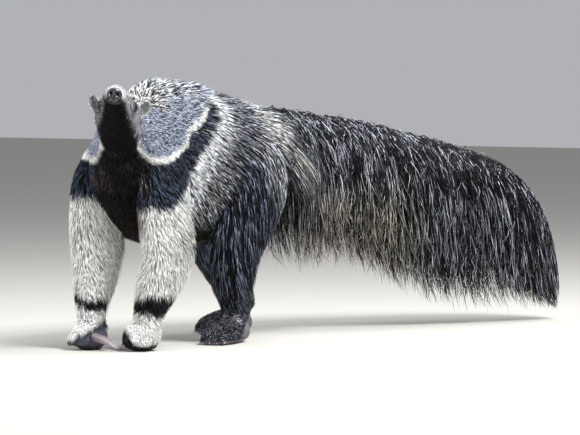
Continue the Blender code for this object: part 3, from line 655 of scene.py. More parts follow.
own = is_part("trunk")
back = -trunk["ahead"][near_trunk]
fall = 0.80 * roundness + 0.28 + 1.0 * ease(-at, -1.9, -0.4) + 0.35 * ease(trunk_along, 0.45, 0.62)
fall = np.where(np.sin(angle) > 0.93, 0.12, fall)
fall = np.where((np.sin(angle) < -0.3) & (at > 4.9), 1.6, fall)
fall = np.where((np.sin(angle) < -0.75) & (at < 4.9), 0.1, fall)
lie[own] = (back + DOWN * fall[:, None])[own]
for name, form in tubes.items():
    own = is_part(name)
    if "leg" in name or "foot" in name:
        near = np.abs(form["at"][:, None] - at[own]).argmin(0)
        sweep = 0.45 if "hind" in name else 0.55
        lie[own] = form["ahead"][near] + np.array((0, sweep, 0)) * ("leg" in name)
    if name == "tail":
        lie[own] = (0.2, 1.0, -0.6)
own = is_part("head", "lid")
lie[own] = -head_ahead - head_top * 0.25
for name, (centre, lean) in zip(("ear_left", "ear_right"), ear_frames):
    own = is_part(name)
    lie[own] = lean + (skin_points[own] - centre) * 12

rear = is_part("foreleg") & (np.sin(angle) > 0.2)
fringe = ease(np.sin(angle), 0.2, 0.9) * ease(at, 1.8, 2.6) * (1 - ease(at, 4.2, 5.2)) * rear
length *= 1 + 1.3 * fringe
height *= 1 + 1.0 * fringe
crest = ease(np.sin(angle), 0.88, 0.99) * is_part("trunk")
length *= 1 + 0.25 * crest * ease(-at, -5.4, -4.6)
height *= 1 + 0.12 * crest * ease(-at, -5.4, -4.6)

edges = np.concatenate([corners[:, [k, (k + 1) % 4]] for k in range(4)])
edges = edges[edges[:, 0] != edges[:, 1]]
touching = np.bincount(edges.ravel(), minlength=count)[:, None]


def smoothed(values, rounds):
    """Columns of values for the points of the skin, each drawn towards its neighbours' mean."""
    for _ in range(rounds):
        pull = [np.bincount(edges[:, 0], column[edges[:, 1]], count)
                + np.bincount(edges[:, 1], column[edges[:, 0]], count) for column in values.T]
        values = (values + np.stack(pull, -1) / touching) / 2
    return values


flow = smoothed(np.column_stack((unit(lie), length, height, width)), 14)
lie = flow[:, :3] - skin_normal * (flow[:, :3] * skin_normal).sum(1, keepdims=True)
lie = unit(lie + 1e-9)
length, height, width = flow[:, 3], flow[:, 4], flow[:, 5]

# the markings are laid by the place of the coat's surface over each point of the skin
coat_surface = skin_points + skin_normal * height[:, None] * 0.75
_, trunk_along, trunk_above = by_trunk(coat_surface)


# The markings, which skin and coat share. Each is a dark and a pale hair colour and the share of the
# tufts that are pale. The black band of the shoulder lies between two lines over the flank, given as
# distances along the trunk's axis from the rump and above it.
WHITE_LINE = np.array([(0.403, 0.147), (0.417, 0.140), (0.445, 0.122), (0.470, 0.103), (0.509, 0.087),
                       (0.532, 0.074), (0.541, 0.062), (0.554, 0.043), (0.583, 0.025), (0.628, 0.008),
                       (0.658, -0.007), (0.680, -0.021), (0.706, -0.034), (0.723, -0.038),
                       (0.753, -0.038), (0.784, -0.042), (0.800, -0.020), (0.812, 0.004)])
BAND_EDGE = np.array([(0.366, 0.150), (0.365, 0.144), (0.365, 0.127), (0.377, 0.109), (0.418, 0.077),
                      (0.444, 0.056), (0.476, 0.030), (0.508, 0.008), (0.526, -0.017), (0.548, -0.047),
                      (0.625, -0.092), (0.664, -0.140), (0.680, -0.300)])
BORDER_EDGE = np.array([(0.340, 0.170), (0.333, 0.137), (0.348, 0.104), (0.392, 0.064), (0.434, 0.032),
                        (0.466, -0.005), (0.498, -0.040), (0.514, -0.078), (0.523, -0.121), (0.530, -0.300)])


def beside(line, x, y):
    """The distance of each point from a line of points, positive on the line's left."""
    best = np.full(len(x), 1e9)
    signed = np.zeros(len(x))
    for (ax, ay), (bx, by) in zip(line, line[1:]):
        dx, dy = bx - ax, by - ay
        t = np.clip(((x - ax) * dx + (y - ay) * dy) / (dx * dx + dy * dy), 0, 1)
        ex, ey = x - ax - t * dx, y - ay - t * dy
        far = np.hypot(ex, ey)
        turn = np.sign(dx * (y - ay) - dy * (x - ax))
        closer = far < best - 1e-9
        best[closer], signed[closer] = far[closer], (far * turn)[closer]
    return signed


def ripple(points, size, seed):
    """A soft random field from -1 to 1 with waves of about the given size."""
    draw = np.random.default_rng(seed)
    total = np.zeros(len(points))
    for wave in range(6):
        way = unit(draw.normal(size=3)) * 2 * np.pi / (size * draw.uniform(0.7, 1.5))
        total += np.sin(points @ way + draw.uniform(0, 2 * np.pi))
    return total / 3.5


dark = np.zeros((count, 3)) + linear("#1A1B1F")
pale = np.zeros((count, 3)) + linear("#C3C6CC")
share = np.full(count, 0.42)


def mark(amount, dark_code, pale_code, pale_share):
    """Lays a marking over the skin, where its amount is from 0 to 1."""
    amount = np.clip(amount, 0, 1)[:, None]
    dark[:] = dark * (1 - amount) + linear(dark_code) * amount
    pale[:] = pale * (1 - amount) + linear(pale_code) * amount
    share[:] = share * (1 - amount[:, 0]) + pale_share * amount[:, 0]


# the borders between colours wander by up to some 4 mm, as the hair crosses them
ragged = ripple(skin_points, 0.02, 5) * 0.004
x, y, z = (skin_points - place).T
v = np.sin(angle)
on_trunk = is_part("trunk").astype(float)
torso = is_part("trunk", "foreleg").astype(float)
line_side = beside(WHITE_LINE, trunk_along, trunk_above) + ragged
band_side = beside(BAND_EDGE, trunk_along, trunk_above) + ragged
border_side = beside(BORDER_EDGE, trunk_along, trunk_above) + ragged * 2

# the grizzled back, the pale hips and the darker lower flank
mark(on_trunk * ease(-trunk_along, -0.42, -0.30), "#1E2028", "#A9AEB9", 0.42)
hip = ease(-np.hypot((trunk_along - 0.13) / 1.0, (trunk_above - 0.06) / 1.5), -0.10, -0.03)
mark(on_trunk * hip, "#33363C", "#E6E6E4", 0.62)
low_flank = on_trunk * ease(-trunk_along, -0.40, -0.30) * ease(-trunk_above, -0.03, 0.05)
mark(low_flank, "#101217", "#878C98", 0.28)
# the shoulder: a pale border, the black band, the white line and the speckled patch over it
mark(torso * ease(border_side, -0.050, 0.004), "#3E424C", "#F4F7FC", 0.74)
low_border = 1 - 0.7 * ease(trunk_above, 0.085, 0.125)
mark(torso * ease(band_side, -0.026, -0.004) * low_border, "#A5A9AF", "#FDFEFD", 0.88)
under_top = ease(-trunk_above, -0.152, -0.143)
# the black band: its blue-grey pale tufts are painted sheen on the black hair
mark(torso * ease(band_side, -0.003, 0.003) * under_top, "#07080C", "#4E5A70", 0.38)
line_end = ease(-trunk_above, -0.148, -0.122)
mark(torso * ease(line_side, -0.0085, -0.0050) * under_top * line_end, "#E8E8E2", "#FFFFFC", 0.95)
mark(torso * ease(line_side, 0.004, 0.008), "#333A4A", "#C4CEE2", 0.58)
# the mane along the neck, and its paler crown behind the head
mane = on_trunk * ease(v, 0.78, 0.95) * ease(trunk_along, 0.34, 0.42)
mark(mane, "#121318", "#E4E8F0", 0.44)
crown = ease(trunk_along, 0.56, 0.62) * ease(trunk_above, 0.100, 0.120) * on_trunk
mark(crown, "#08090C", "#FFFFFC", 0.43)
# the black belly, throat and chest, with two brown spots
mark(on_trunk * ease(-v, 0.66, 0.88), "#08080A", "#3D3938", 0.24)
throat = ease(-v, 0.30, 0.62) * ease(at, 5.4, 6.2) * on_trunk * (line_side < 0)
mark(throat, "#020203", "#312F33", 0.14)
# brownish patches over the black throat: partly its own brownish tone, partly painted sheen on its folds
mark(throat * ease(ripple(skin_points, 0.055, 14), 0.15, 0.75), "#0C0A09", "#5E554F", 0.30)

CHEST_SPOTS = ((0.097, -0.297, 0.386), (-0.033, -0.320, 0.401))
for spot_place in CHEST_SPOTS:
    off = skin_points - place - spot_place
    far = np.hypot(np.hypot(off[:, 0], off[:, 1]) / 0.013, off[:, 2] / 0.018)
    mark(torso * ease(-far, -2.0, -0.5) * 0.75, "#231D1A", "#93877B", 0.42)

# the black hind legs, whose pale bluish tufts are partly grizzle and partly painted sheen, with a grey rear,
# and the tail
mark(is_part("hindleg", "hindfoot").astype(float), "#0A0B0F", "#6F788B", 0.36)
thigh_rear = is_part("hindleg") * ease(-at, -2.1, -0.9) * ease(y, 0.07, 0.19)
mark(thigh_rear, "#25282E", "#CDD0D6", 0.48)
mark(is_part("tail").astype(float), "#0C0C0F", "#5F5A54", 0.30)

# the patch's hair is short, fine and stands up, so that it shows as speckles
SPECKLE_LENGTH, SPECKLE_WIDTH = 0.0080, 0.0014
patch = ease(line_side, -0.009, 0.001) * torso * (1 - mane * ease(-trunk_along, -0.70, -0.60))
length += (np.minimum(length, SPECKLE_LENGTH) - length) * patch
width += (np.minimum(width, SPECKLE_WIDTH) - width) * patch

# dense underfur fills the lower part of the coat, by these shares, and the skin's mesh lies at its top
UNDERFUR, MORE_UNDER_PATCH = 0.50, 0.25
filled = UNDERFUR + MORE_UNDER_PATCH * smoothed(patch[:, None], 12)[:, 0]
filled *= np.where(on_trunk > 0, 1 - ease(at, 6.3, 7.1), 1.0)
filled *= np.where(is_part("foreleg"), 1 - ease(at, 4.8, 6.4), 1.0)
filled *= np.where(is_part("hindleg"), 1 - ease(at, 4.4, 5.7), 1.0)
filled *= is_part("trunk", "foreleg", "hindleg", "tail")
underfur = smoothed((filled * height)[:, None], 6)[:, 0]
skin_points = skin_points + skin_normal * underfur[:, None]
height = np.maximum(height - underfur, 0.001)

# the pale forelegs: painted bluish grey shade on the middle of the outer side, a brown inner side, a dark
# elbow and the black band of the wrist
foreleg, forefoot = is_part("foreleg"), is_part("forefoot")
for side in (1, -1):
    own = (foreleg | forefoot) & (x * side > 0)
    cream_top = (0.324 if side > 0 else 0.346) + 0.012 * ease(v, 0.2, 0.9) + ragged * 1.5
    # the right leg has the larger pale share: painted light that brightens it where it stands in shade
    mark(own * ease(cream_top - z, -0.006, 0.006), "#B4B5B3", "#FFFFFD", 0.86 if side > 0 else 0.96)
    # painted shade, bluish grey, over the middle of each leg's outer side
    outer_leg_painted_shade = ease(-np.abs(z - 0.245), -0.060, -0.01) * ease(v, -0.5, 0.3) * (x * side > 0.09)
    mark(own * outer_leg_painted_shade * 0.55, "#4A505A", "#C4C7CB", 0.55)
    inner = ease(-np.cos(angle) * side, 0.15, 0.65) * ease(z, 0.250, 0.285) * (side > 0)
    mark(own * inner * ease(-z, -0.345, -0.325), "#3A312E", "#A1928B", 0.50)
    elbow = ease(v, 0.45, 0.85) * ease(-np.abs(z - 0.265), -0.075, -0.045)
    mark(own * elbow, "#1A1A1C", "#DDDACE", 0.45)
    wrist_x = 0.087 if side > 0 else 0.058
    outer = ease((x * side - wrist_x) / 0.03, -0.6, 0.8)
    slant = 0.016 * outer * (side < 0)
    band = np.abs(z - 0.094 - slant - ragged) - (0.010 if side < 0 else 0.013) - 0.010 * outer * (side > 0)
    mark(own * ease(-band, -0.003, 0.003), "#07080B", "#20242D", 0.30)
# the bare knuckle pad of the right forefoot and the dark lower side of the left one, both on a slant
camera_right = np.array((math.cos(math.radians(CAMERA_AZIMUTH)), math.sin(math.radians(CAMERA_AZIMUTH)), 0))
to_right = {side: (skin_points - place - LEGS[f"foreleg_{side}"][-1][:3]) @ camera_right
            for side in ("left", "right")}
foot_low = (forefoot | foreleg) & (z < 0.075)
knuckle_pad = foot_low & (x < 0) & (z < 0.045 + 0.52 * to_right["right"] + ragged * 0.5)
black_side = foot_low & (x > 0) & (z < -0.004 - 0.95 * to_right["left"] + ragged)
mark(black_side.astype(float), "#0C0C10", "#3A3B44", 0.35)

# the hind feet: black hair with a painted highlight, a pale patch on top where the light falls
hind_top = is_part("hindfoot") & (z > 0.018)
hind_foot_painted_highlight = hind_top & (at > 1.1) & (at < 2.6)
mark(hind_top.astype(float), "#15161A", "#7A7E88", 0.42)
mark(hind_foot_painted_highlight * ease(ripple(skin_points, 0.05, 8), -0.3, 0.4), "#4A4E58", "#D5D8DD", 0.66)

along_head, _, over_head = on_head(skin_points)
# the grey face, paler on top and whitened along the muzzle partly by painted light, with a dark stripe to the
# eye and a black chin
head = is_part("head", "lid").astype(float)
mark(head, "#7C7A80", "#CFCDD2", 0.62)
mark(head * ease(v, 0.00, 0.60), "#7D7C82", "#CFCDD0", 0.62)
mark(head * ease(v, 0.00, 0.60) * ease(along_head, 0.14, 0.26), "#A9A8AB", "#F4F2F0", 0.72)
# a white band along both sides of the muzzle: partly its pale hair, partly painted light that brightens the
# sides of the snout
mark(head * ease(v, -0.40, 0.10) * ease(along_head, 0.12, 0.21), "#BCBCC2", "#FFFFFF", 0.80)
stripe_v = np.interp(along_head, (0.085, 0.126, 0.175, 0.250), (-0.32, -0.08, 0.08, 0.14))
stripe = ease(-np.abs(v - stripe_v), -0.15, -0.06)
stripe = stripe * ease(along_head, 0.070, 0.090) * ease(-along_head, -0.255, -0.225)
mark(head * stripe * 0.85, "#1E1917", "#5C5150", 0.30)
chin_edge = ripple(skin_points, 0.014, 11) * 0.10
mark(head * ease(-v + chin_edge, 0.36, 0.74) * ease(-along_head, -0.290, -0.280), "#030304", "#2C292D", 0.20)
mark(head * ease(-along_head, 0.00, 0.030) * ease(v, -0.35, 0.1), "#2E323C", "#B9C0CE", 0.55)
rim = ease(along_head, 0.250, 0.276) * ease(v, -0.9, -0.3)
mark(head * rim, "#BFBCBF", "#FBF9F8", 0.80)
mark(is_part("lid") * ease(-at, -0.85, -0.50), "#3A3535", "#8C8583", 0.40)
mark((is_part("lid") & (at < 0.45)).astype(float), "#0C0A0A", "#0C0A0A", 0.0)
mark(is_part("ear").astype(float), "#8D8E92", "#EDEEF0", 0.68)

# the bare nose, its nostrils and the lips
muzzle = is_part("head") & (along_head > 0.2935 - 0.002 * np.cos(angle) ** 2)
mark(muzzle.astype(float), "#12151D", "#12151D", 0.0)
# the pad is lighter on top: partly its blue-grey leather, partly painted sheen on the wet top
mark(muzzle * ease(over_head, -0.004, 0.007), "#3A404E", "#3A404E", 0.0)
lower_lip = is_part("head") * ease(-over_head, 0.013, 0.018) * ease(along_head, 0.284, 0.290)
mark(lower_lip, "#2B272E", "#3B363D", 0.3)
# painted shade: the openings of the nostrils are painted near black
nostril = np.zeros(count)
for side in (1, -1):
    nostril += pit(skin_points, (0.296, side * NOSTRIL_OUT, NOSTRIL_UP), (0.014, 0.0042, 0.0052))
mark(is_part("head") * ease(nostril, 0.35, 0.75), "#020203", "#020203", 0.0)
# painted shade: a near black line along the crease of the mouth
lip_line = np.abs(over_head - MOUTH_UP - 0.05 * (0.3 - along_head)) / 0.0014
mark(is_part("head") * np.exp(-(lip_line**2)) * ease(along_head, MOUTH_BACK, MOUTH_BACK + 0.01),
     "#050405", "#050405", 0.0)

# the bare soles, heels and knuckles, and painted shade in the hollow of the ears
mark(knuckle_pad.astype(float), "#454854", "#454854", 0.0)
heel_edge = 2.1 - 1.2 * ease(z, 0.030, 0.062) + 0.28 * ripple(skin_points, 0.009, 17)
bare_heel = is_part("hindfoot") & ((at < heel_edge) | (z < 0.011))
mark(bare_heel.astype(float), "#67626A", "#67626A", 0.0)
sole = is_part("forefoot") & (z < 0.012)
mark(sole.astype(float), "#26252B", "#26252B", 0.0)
# painted shade: the ears are darkened deep in their hollow
inner_ear_shade = is_part("ear") * ease(at, 0.62, 0.88) * 0.8
mark(inner_ear_shade, "#2F2C30", "#A5A1A2", 0.36)


# The unwrap that skin and coat share: each part is rolled out flat, its length along one side of its
# own cell of the map and the angle round it along the other. A tuft is a small patch at its root.
CELL_MARGIN = 0.012
PATCH = 0.003
big_cells = {"trunk": (0.0, 0.62, 0.64, 1.0), "head": (0.66, 0.62, 1.0, 1.0), "tail": (0.0, 0.44, 0.64, 0.60)}
small = [name for name in PARTS if name not in big_cells]
cells = np.zeros((len(PARTS), 4))
spans = np.zeros((len(PARTS), 2))
for number, name in enumerate(PARTS):
    if name in big_cells:
        cells[number] = big_cells[name]
    else:
        column, row = small.index(name) % 4, small.index(name) // 4
        cells[number] = (column * 0.25, row * 0.145, column * 0.25 + 0.24, row * 0.145 + 0.135)
    own = part == number
    spans[number] = at[own].min(), at[own].max() + 1e-6


def on_map(part, at, angle):
    """The place on the unwrap of points given by part, place along it and angle round it."""
    cell, span = cells[part], spans[part]
    along = np.clip((at - span[:, 0]) / (span[:, 1] - span[:, 0]), 0, 1)
    around = (angle / (2 * np.pi) + 0.5) % 1.0
    room = cell[:, 2:] - cell[:, :2] - 2 * CELL_MARGIN
    return cell[:, :2] + CELL_MARGIN + room * np.stack((along, around), -1)


def skin_map():
    """A place on the unwrap for each corner of each face. A face lies in the cell of its first point."""
    owner = part[corners[:, :1]]
    foreign = part[corners] != owner
    own_at = np.where(foreign, at[corners[:, :1]], at[corners])
    own_angle = np.where(foreign, angle[corners[:, :1]], angle[corners])
    turned = own_angle - own_angle[:, :1]
    own_angle = own_angle - 2 * np.pi * np.round(turned / (2 * np.pi))
    cell, span = cells[owner[:, 0]][:, None], spans[owner[:, 0]][:, None]
    along = np.clip((own_at - span[..., 0]) / (span[..., 1] - span[..., 0]), 0, 1)
    around = own_angle / (2 * np.pi) + 0.5
    room = cell[..., 2:] - cell[..., :2] - 2 * CELL_MARGIN
    return cell[..., :2] + CELL_MARGIN + room * np.stack((along, around), -1)


# The hide: short dense underfur on skin, but the nose is bare wet leather, and the soles, heels and
# knuckles are dry creased skin. The fur is dead matt, with its colour from the markings darkened by painted
# shade, and its hair, 0.1 mm wide, is drawn 1.6 mm wide so that it shows.
HAIR_GRAIN = 1 / 0.0016


def tint(tree, shader, pattern, **levels):
    """Colours a finish by the markings of its mesh, times a pattern between two levels of brightness."""
    colour = add_node(tree, "ShaderNodeVertexColor", {"layer_name": "Markings"})
    lit = add_node(tree, "ShaderNodeMapRange", Value=pattern, **levels)
    tinted = add_node(tree, "ShaderNodeVectorMath", {"operation": "SCALE"}, Scale=lit.outputs["Result"])
    tree.links.new(colour.outputs["Color"], tinted.inputs[0])
    tree.links.new(tinted.outputs["Vector"], shader.inputs["Base Color"])
    return lit.outputs["Result"]


hide, tree, shader = new_material("Short underfur on hide")
spot = add_node(tree, "ShaderNodeTexCoord")
grain = add_node(tree, "ShaderNodeTexNoise", Vector=spot.outputs["Object"], Scale=HAIR_GRAIN, Detail=2.0)
tint(tree, shader, grain.outputs["Fac"], From_Min=0.3, From_Max=0.7, To_Min=0.55, To_Max=1.25)
relief = add_node(tree, "ShaderNodeBump", Strength=0.8, Distance=0.0012, Height=grain.outputs["Fac"])
tree.links.new(relief.outputs["Normal"], shader.inputs["Normal"])
shader.inputs["Roughness"].default_value = 0.85
shader.inputs["Specular IOR Level"].default_value = 0.10

# tight hairless skin that is always wet: pebbles 1.1 mm wide under a thin film with sharp lights
leather, tree, shader = new_material("Wet nose leather")
spot = add_node(tree, "ShaderNodeTexCoord")
PEBBLE = 1 / 0.0011
pebbles = add_node(tree, "ShaderNodeTexVoronoi", Vector=spot.outputs["Object"], Scale=PEBBLE)
tint(tree, shader, pebbles.outputs["Distance"], To_Min=0.8, To_Max=1.3)
relief = add_node(tree, "ShaderNodeBump", {"invert": True}, Strength=0.35, Distance=0.0006,
                  Height=pebbles.outputs["Distance"])
tree.links.new(relief.outputs["Normal"], shader.inputs["Normal"])
shader.inputs["Roughness"].default_value = 0.42
shader.inputs["Specular IOR Level"].default_value = 0.22
shader.inputs["Coat Weight"].default_value = 0.85
shader.inputs["Coat Roughness"].default_value = 0.07

# thick worn skin: half matt, with darker creases 3.5 mm apart
pad, tree, shader = new_material("Dry creased sole skin")
spot = add_node(tree, "ShaderNodeTexCoord")
CREASE = 1 / 0.0035
creases = add_node(tree, "ShaderNodeTexVoronoi", {"feature": "DISTANCE_TO_EDGE"},
                   Vector=spot.outputs["Object"], Scale=CREASE)
lit = tint(tree, shader, creases.outputs["Distance"], From_Max=0.12, To_Min=0.6, To_Max=1.1)
relief = add_node(tree, "ShaderNodeBump", Strength=0.6, Distance=0.0010, Height=lit)
tree.links.new(relief.outputs["Normal"], shader.inputs["Normal"])
shader.inputs["Roughness"].default_value = 0.62


def give_colours(data, colours):
    """Stores a colour for each point of a mesh."""
    layer = data.color_attributes.new("Markings", "FLOAT_COLOR", "POINT")
    opaque = np.column_stack((colours, np.ones(len(colours)))).astype(np.float32)
    layer.data.foreach_set("color", opaque.ravel())


# how bright the hide is in shares of its hair, which is painted shade: deep between long tufts, less so under
# short ones
BODY_SHADE, MORE_IN_PATCH, SHORT_FUR_SHADE = 0.38, 0.16, 0.80
skin = solid("skin", skin_points, skin_faces, hide)
skin.data.materials.append(leather)
skin.data.materials.append(pad)
bare = np.zeros(count, int)
bare[muzzle] = 1
bare[bare_heel | sole | knuckle_pad] = 2
skin.data.polygons.foreach_set("material_index", bare[corners].min(1).astype(np.int32))
short_fur = is_part("head", "lid", "ear", "forefoot", "hindfoot")
shade = np.where(short_fur, SHORT_FUR_SHADE, BODY_SHADE + MORE_IN_PATCH * patch)
shade = np.where(bare > 0, 1.0, shade)[:, None]
skin_colour = (dark + (pale - dark) * share[:, None] * 0.6) * shade
give_colours(skin.data, skin_colour)
layer = skin.data.uv_layers.new(name="OFBake")
whole = np.array([len(face) for face in skin_faces])
uv = skin_map()
loop_uv = uv[np.arange(4)[None] < whole[:, None]]
layer.uv.foreach_set("vector", loop_uv.astype(np.float32).ravel())
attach(skin, "root")
flesh = ("torso", "neck", "head", "tail", "ear", "upper_arm", "forearm", "forefoot", "hindleg", "hindfoot")
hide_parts(*[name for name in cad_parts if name.startswith(flesh)])


# The eyes: small dark balls, nearly all iris and pupil. Each turns outwards in its lids. A wet clear
# cornea over a brown iris with fibres 0.9 mm apart gives one small sharp light on near black.
IRIS_FIBRES = 1 / 0.0009
eye_glass, tree, shader = new_material("Wet eye")
spot = add_node(tree, "ShaderNodeTexCoord")
fibres = add_node(tree, "ShaderNodeTexNoise", Vector=spot.outputs["Object"], Scale=IRIS_FIBRES,
                  Detail=2.0)
tint(tree, shader, fibres.outputs["Fac"], To_Min=0.7, To_Max=1.2)
shader.inputs["Roughness"].default_value = 0.12
shader.inputs["IOR"].default_value = 1.376
shader.inputs["Coat Weight"].default_value = 0.4
shader.inputs["Coat Roughness"].default_value = 0.03

# the pupil and the iris end at these angles from the gaze
PUPIL, IRIS = math.cos(math.radians(17)), math.cos(math.radians(40))
for name, left in (("left", 1), ("right", -1)):
    gaze = eye_gaze(left)
    eye_turn = np.stack((np.cross(UP, gaze), np.cross(gaze, np.cross(UP, gaze)), gaze), 1)
    points, faces = joined([ellipsoid(eye_place(left), eye_turn, (EYE_RADIUS,) * 3, 48, 40)])
    eye = solid(f"eyeball_{name}", points, faces, eye_glass)
    facing_out = unit(points - eye_place(left)) @ gaze
    iris = ease(facing_out, IRIS - 0.02, IRIS + 0.02)[:, None]
    pupil = ease(facing_out, PUPIL - 0.006, PUPIL + 0.006)[:, None]
    tone = linear("#3A332E") * (1 - iris) + linear("#23150D") * iris
    give_colours(eye.data, tone * (1 - pupil) + linear("#020202") * pupil)
    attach(eye, "root")
    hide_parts(f"eye_{name}")


# The coat: coarse straight guard hair, stiff, oval in section and banded dark and pale. It grows here
# as flat tapered tufts, small closed solids that are rooted in the skin and follow its lie. A finish
# runs bands along a tuft and single hairs across it, on the tuft's own patch of the unwrap.
def hair_material(name, bands, hairs, low, high, roughness):
    """A hair finish with that many bands along a tuft and hairs across it, as dark and as pale as given."""
    material, tree, shader = new_material(name)
    patch = add_node(tree, "ShaderNodeUVMap", {"uv_map": "OFBake"})
    drawn = add_node(tree, "ShaderNodeVectorMath", {"operation": "MULTIPLY"})
    drawn.inputs[1].default_value = (bands / PATCH, hairs / PATCH, 0)
    tree.links.new(patch.outputs["UV"], drawn.inputs[0])
    banding = add_node(tree, "ShaderNodeTexNoise", Vector=drawn.outputs["Vector"], Scale=1.0, Detail=1.0)
    tint(tree, shader, banding.outputs["Fac"], From_Min=0.36, From_Max=0.64, To_Min=low, To_Max=high)
    shader.inputs["Roughness"].default_value = roughness
    shader.inputs["Specular IOR Level"].default_value = 0.18
    return material


# the most triangles in one piece, how deep a tuft is rooted, and its thickness in shares of its width
MOST_TRIANGLES = 195000
ROOT_DEPTH = 0.003
TUFT_THICKNESS = 0.32
# a tuft's width at each of its sections, in shares of its full width, for the segments that it has
TAPERS = {2: (0.70, 1.0), 3: (0.60, 1.0, 0.72), 4: (0.55, 1.0, 0.95, 0.80)}
tree_of_skin = BVHTree.FromPolygons([tuple(p) for p in skin_points], skin_faces)
face_lie = unit(lie[corners].mean(1) + 1e-9)
triangles = np.concatenate((corners[:, [0, 1, 2]], corners[~thin][:, [0, 2, 3]]))
edge_one = skin_points[triangles[:, 1]] - skin_points[triangles[:, 0]]
edge_two = skin_points[triangles[:, 2]] - skin_points[triangles[:, 0]]
triangle_area = np.linalg.norm(np.cross(edge_one, edge_two), axis=1) / 2


def scatter(wanted, number, draw):
    """Places for that many tufts on a part of the skin, thicker where the tufts are small."""
    cover = 1 / (length * width)
    weight = triangle_area * (cover * wanted)[triangles].mean(1)
    total = np.cumsum(weight)
    picks = (np.arange(number) + draw.random(number)) / number * total[-1]
    chosen = triangles[np.searchsorted(total, picks).clip(0, len(total) - 1)]
    one, two = draw.random((2, number))
    over = one + two > 1
    one, two = np.where(over, 1 - one, one), np.where(over, 1 - two, two)
    return chosen, np.stack((1 - one - two, one, two), 1)


def rooted(wanted, number, draw):
    """Places, outer sides and lies of that many tufts, the skin's points round each with their shares,
    and its nearest one."""
    trio, mix = scatter(wanted.astype(float), number, draw)
    root, normal, way = [(values[trio] * mix[..., None]).sum(1) for values in (skin_points, skin_normal, lie)]
    return root, unit(normal), way, trio, mix, trio[np.arange(number), mix.argmax(1)]


def map_places(points):
    """The places on the unwrap of some points of the skin."""
    return on_map(part[points], at[points], angle[points])


def grow(place, normal, way, reach, rise, segments):
    """The path, the outer side and the skin's faces below each tuft, which follows the skin."""
    points, outs, under = [place - normal * ROOT_DEPTH], [normal], []
    here, way = place.copy(), way.copy()
    for k in range(1, segments + 1):
        share = k / segments
        here = here + way * (reach / segments)[:, None]
        spots = [tree_of_skin.find_nearest(p) for p in here.tolist()]
        skin_at = np.array([spot[0] for spot in spots])
        out = np.array([spot[1] for spot in spots])
        under.append(np.array([spot[2] for spot in spots]))
        flow = face_lie[under[-1]]
        away = here - skin_at
        beside_skin = away - out * (away * out).sum(1)[:, None]
        here = skin_at + beside_skin + out * (rise * share**0.7)[:, None]
        points.append(here)
        outs.append(out)
        way = unit(way * 0.5 + flow * 0.5)
    return np.stack(points, 1), np.stack(outs, 1), np.stack(under, 1)


def tuft_mesh(name, paths, outs, widths, colours, roots, finish):
    """Pieces of joined tufts, from the paths, outer sides, widths, colours and map places of each."""
    segments = paths.shape[1] - 1
    each = 6 * (segments - 1) + 4
    lots = math.ceil(len(paths) * each / MOST_TRIANGLES)
    taper = np.array(TAPERS[segments])
    for lot, chosen in enumerate(np.array_split(np.arange(len(paths)), lots)):
        path, out = paths[chosen], outs[chosen]
        along = unit(np.gradient(path, axis=1) + 1e-12)
        out = unit(out - along * (out * along).sum(-1, keepdims=True) + 1e-9)
        size = (widths[chosen][:, None] * taper)[..., None]
        across = np.cross(along, out)[:, :-1] * size / 2
        ridge = out[:, :-1] * size * TUFT_THICKNESS
        middle = path[:, :-1]
        ring = np.stack((middle - across, middle + ridge, middle + across), 2)
        tufts, per = len(chosen), 3 * segments + 1
        vertices = np.concatenate((ring.reshape(tufts, -1, 3), path[:, -1:]), 1)
        walls, ends = [], [(2, 1, 0)]
        for k in range(segments - 1):
            for i in range(3):
                j = (i + 1) % 3
                walls.append((3 * k + i, 3 * k + j, 3 * k + 3 + j, 3 * k + 3 + i))
        last = 3 * (segments - 1)
        ends.extend((last + i, last + (i + 1) % 3, per - 1) for i in range(3))
        start = np.arange(tufts)[:, None, None] * per
        quads = (np.array(walls)[None] + start).reshape(-1)
        tris = (np.array(ends)[None] + start).reshape(-1)
        loops = np.concatenate((quads, tris)).astype(np.int32)
        starts = np.concatenate((np.arange(0, len(quads), 4), len(quads) + np.arange(0, len(tris), 3)))
        label = f"{name}_{lot + 1}" if lots > 1 else name
        data = bpy.data.meshes.new(label)
        data.vertices.add(tufts * per)
        data.vertices.foreach_set("co", vertices.astype(np.float32).ravel())
        data.loops.add(len(loops))
        data.loops.foreach_set("vertex_index", loops)
        data.polygons.add(len(starts))
        data.polygons.foreach_set("loop_start", starts.astype(np.int32))
        data.update(calc_edges=True)
        data.shade_smooth()
        tone = np.repeat(colours[chosen][:, :-1], 3, axis=1)
        tone = np.concatenate((tone, colours[chosen][:, -1:]), 1)
        give_colours(data, tone.reshape(-1, 3))
        step = np.append(np.repeat(np.arange(segments) / segments, 3), 1.0) - 0.5
        beside_it = np.append(np.tile((-0.5, 0.0, 0.5), segments), 0.0)
        patch = np.stack((step, beside_it), -1) * PATCH
        places = (roots[chosen][:, None] + patch).reshape(-1, 2)
        layer = data.uv_layers.new(name="OFBake")
        layer.uv.foreach_set("vector", places[loops].astype(np.float32).ravel())
        data.materials.append(finish)
        made = bpy.data.objects.new(label, data)
        bpy.context.scene.collection.objects.link(made)
        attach(made, "root")
        yield made


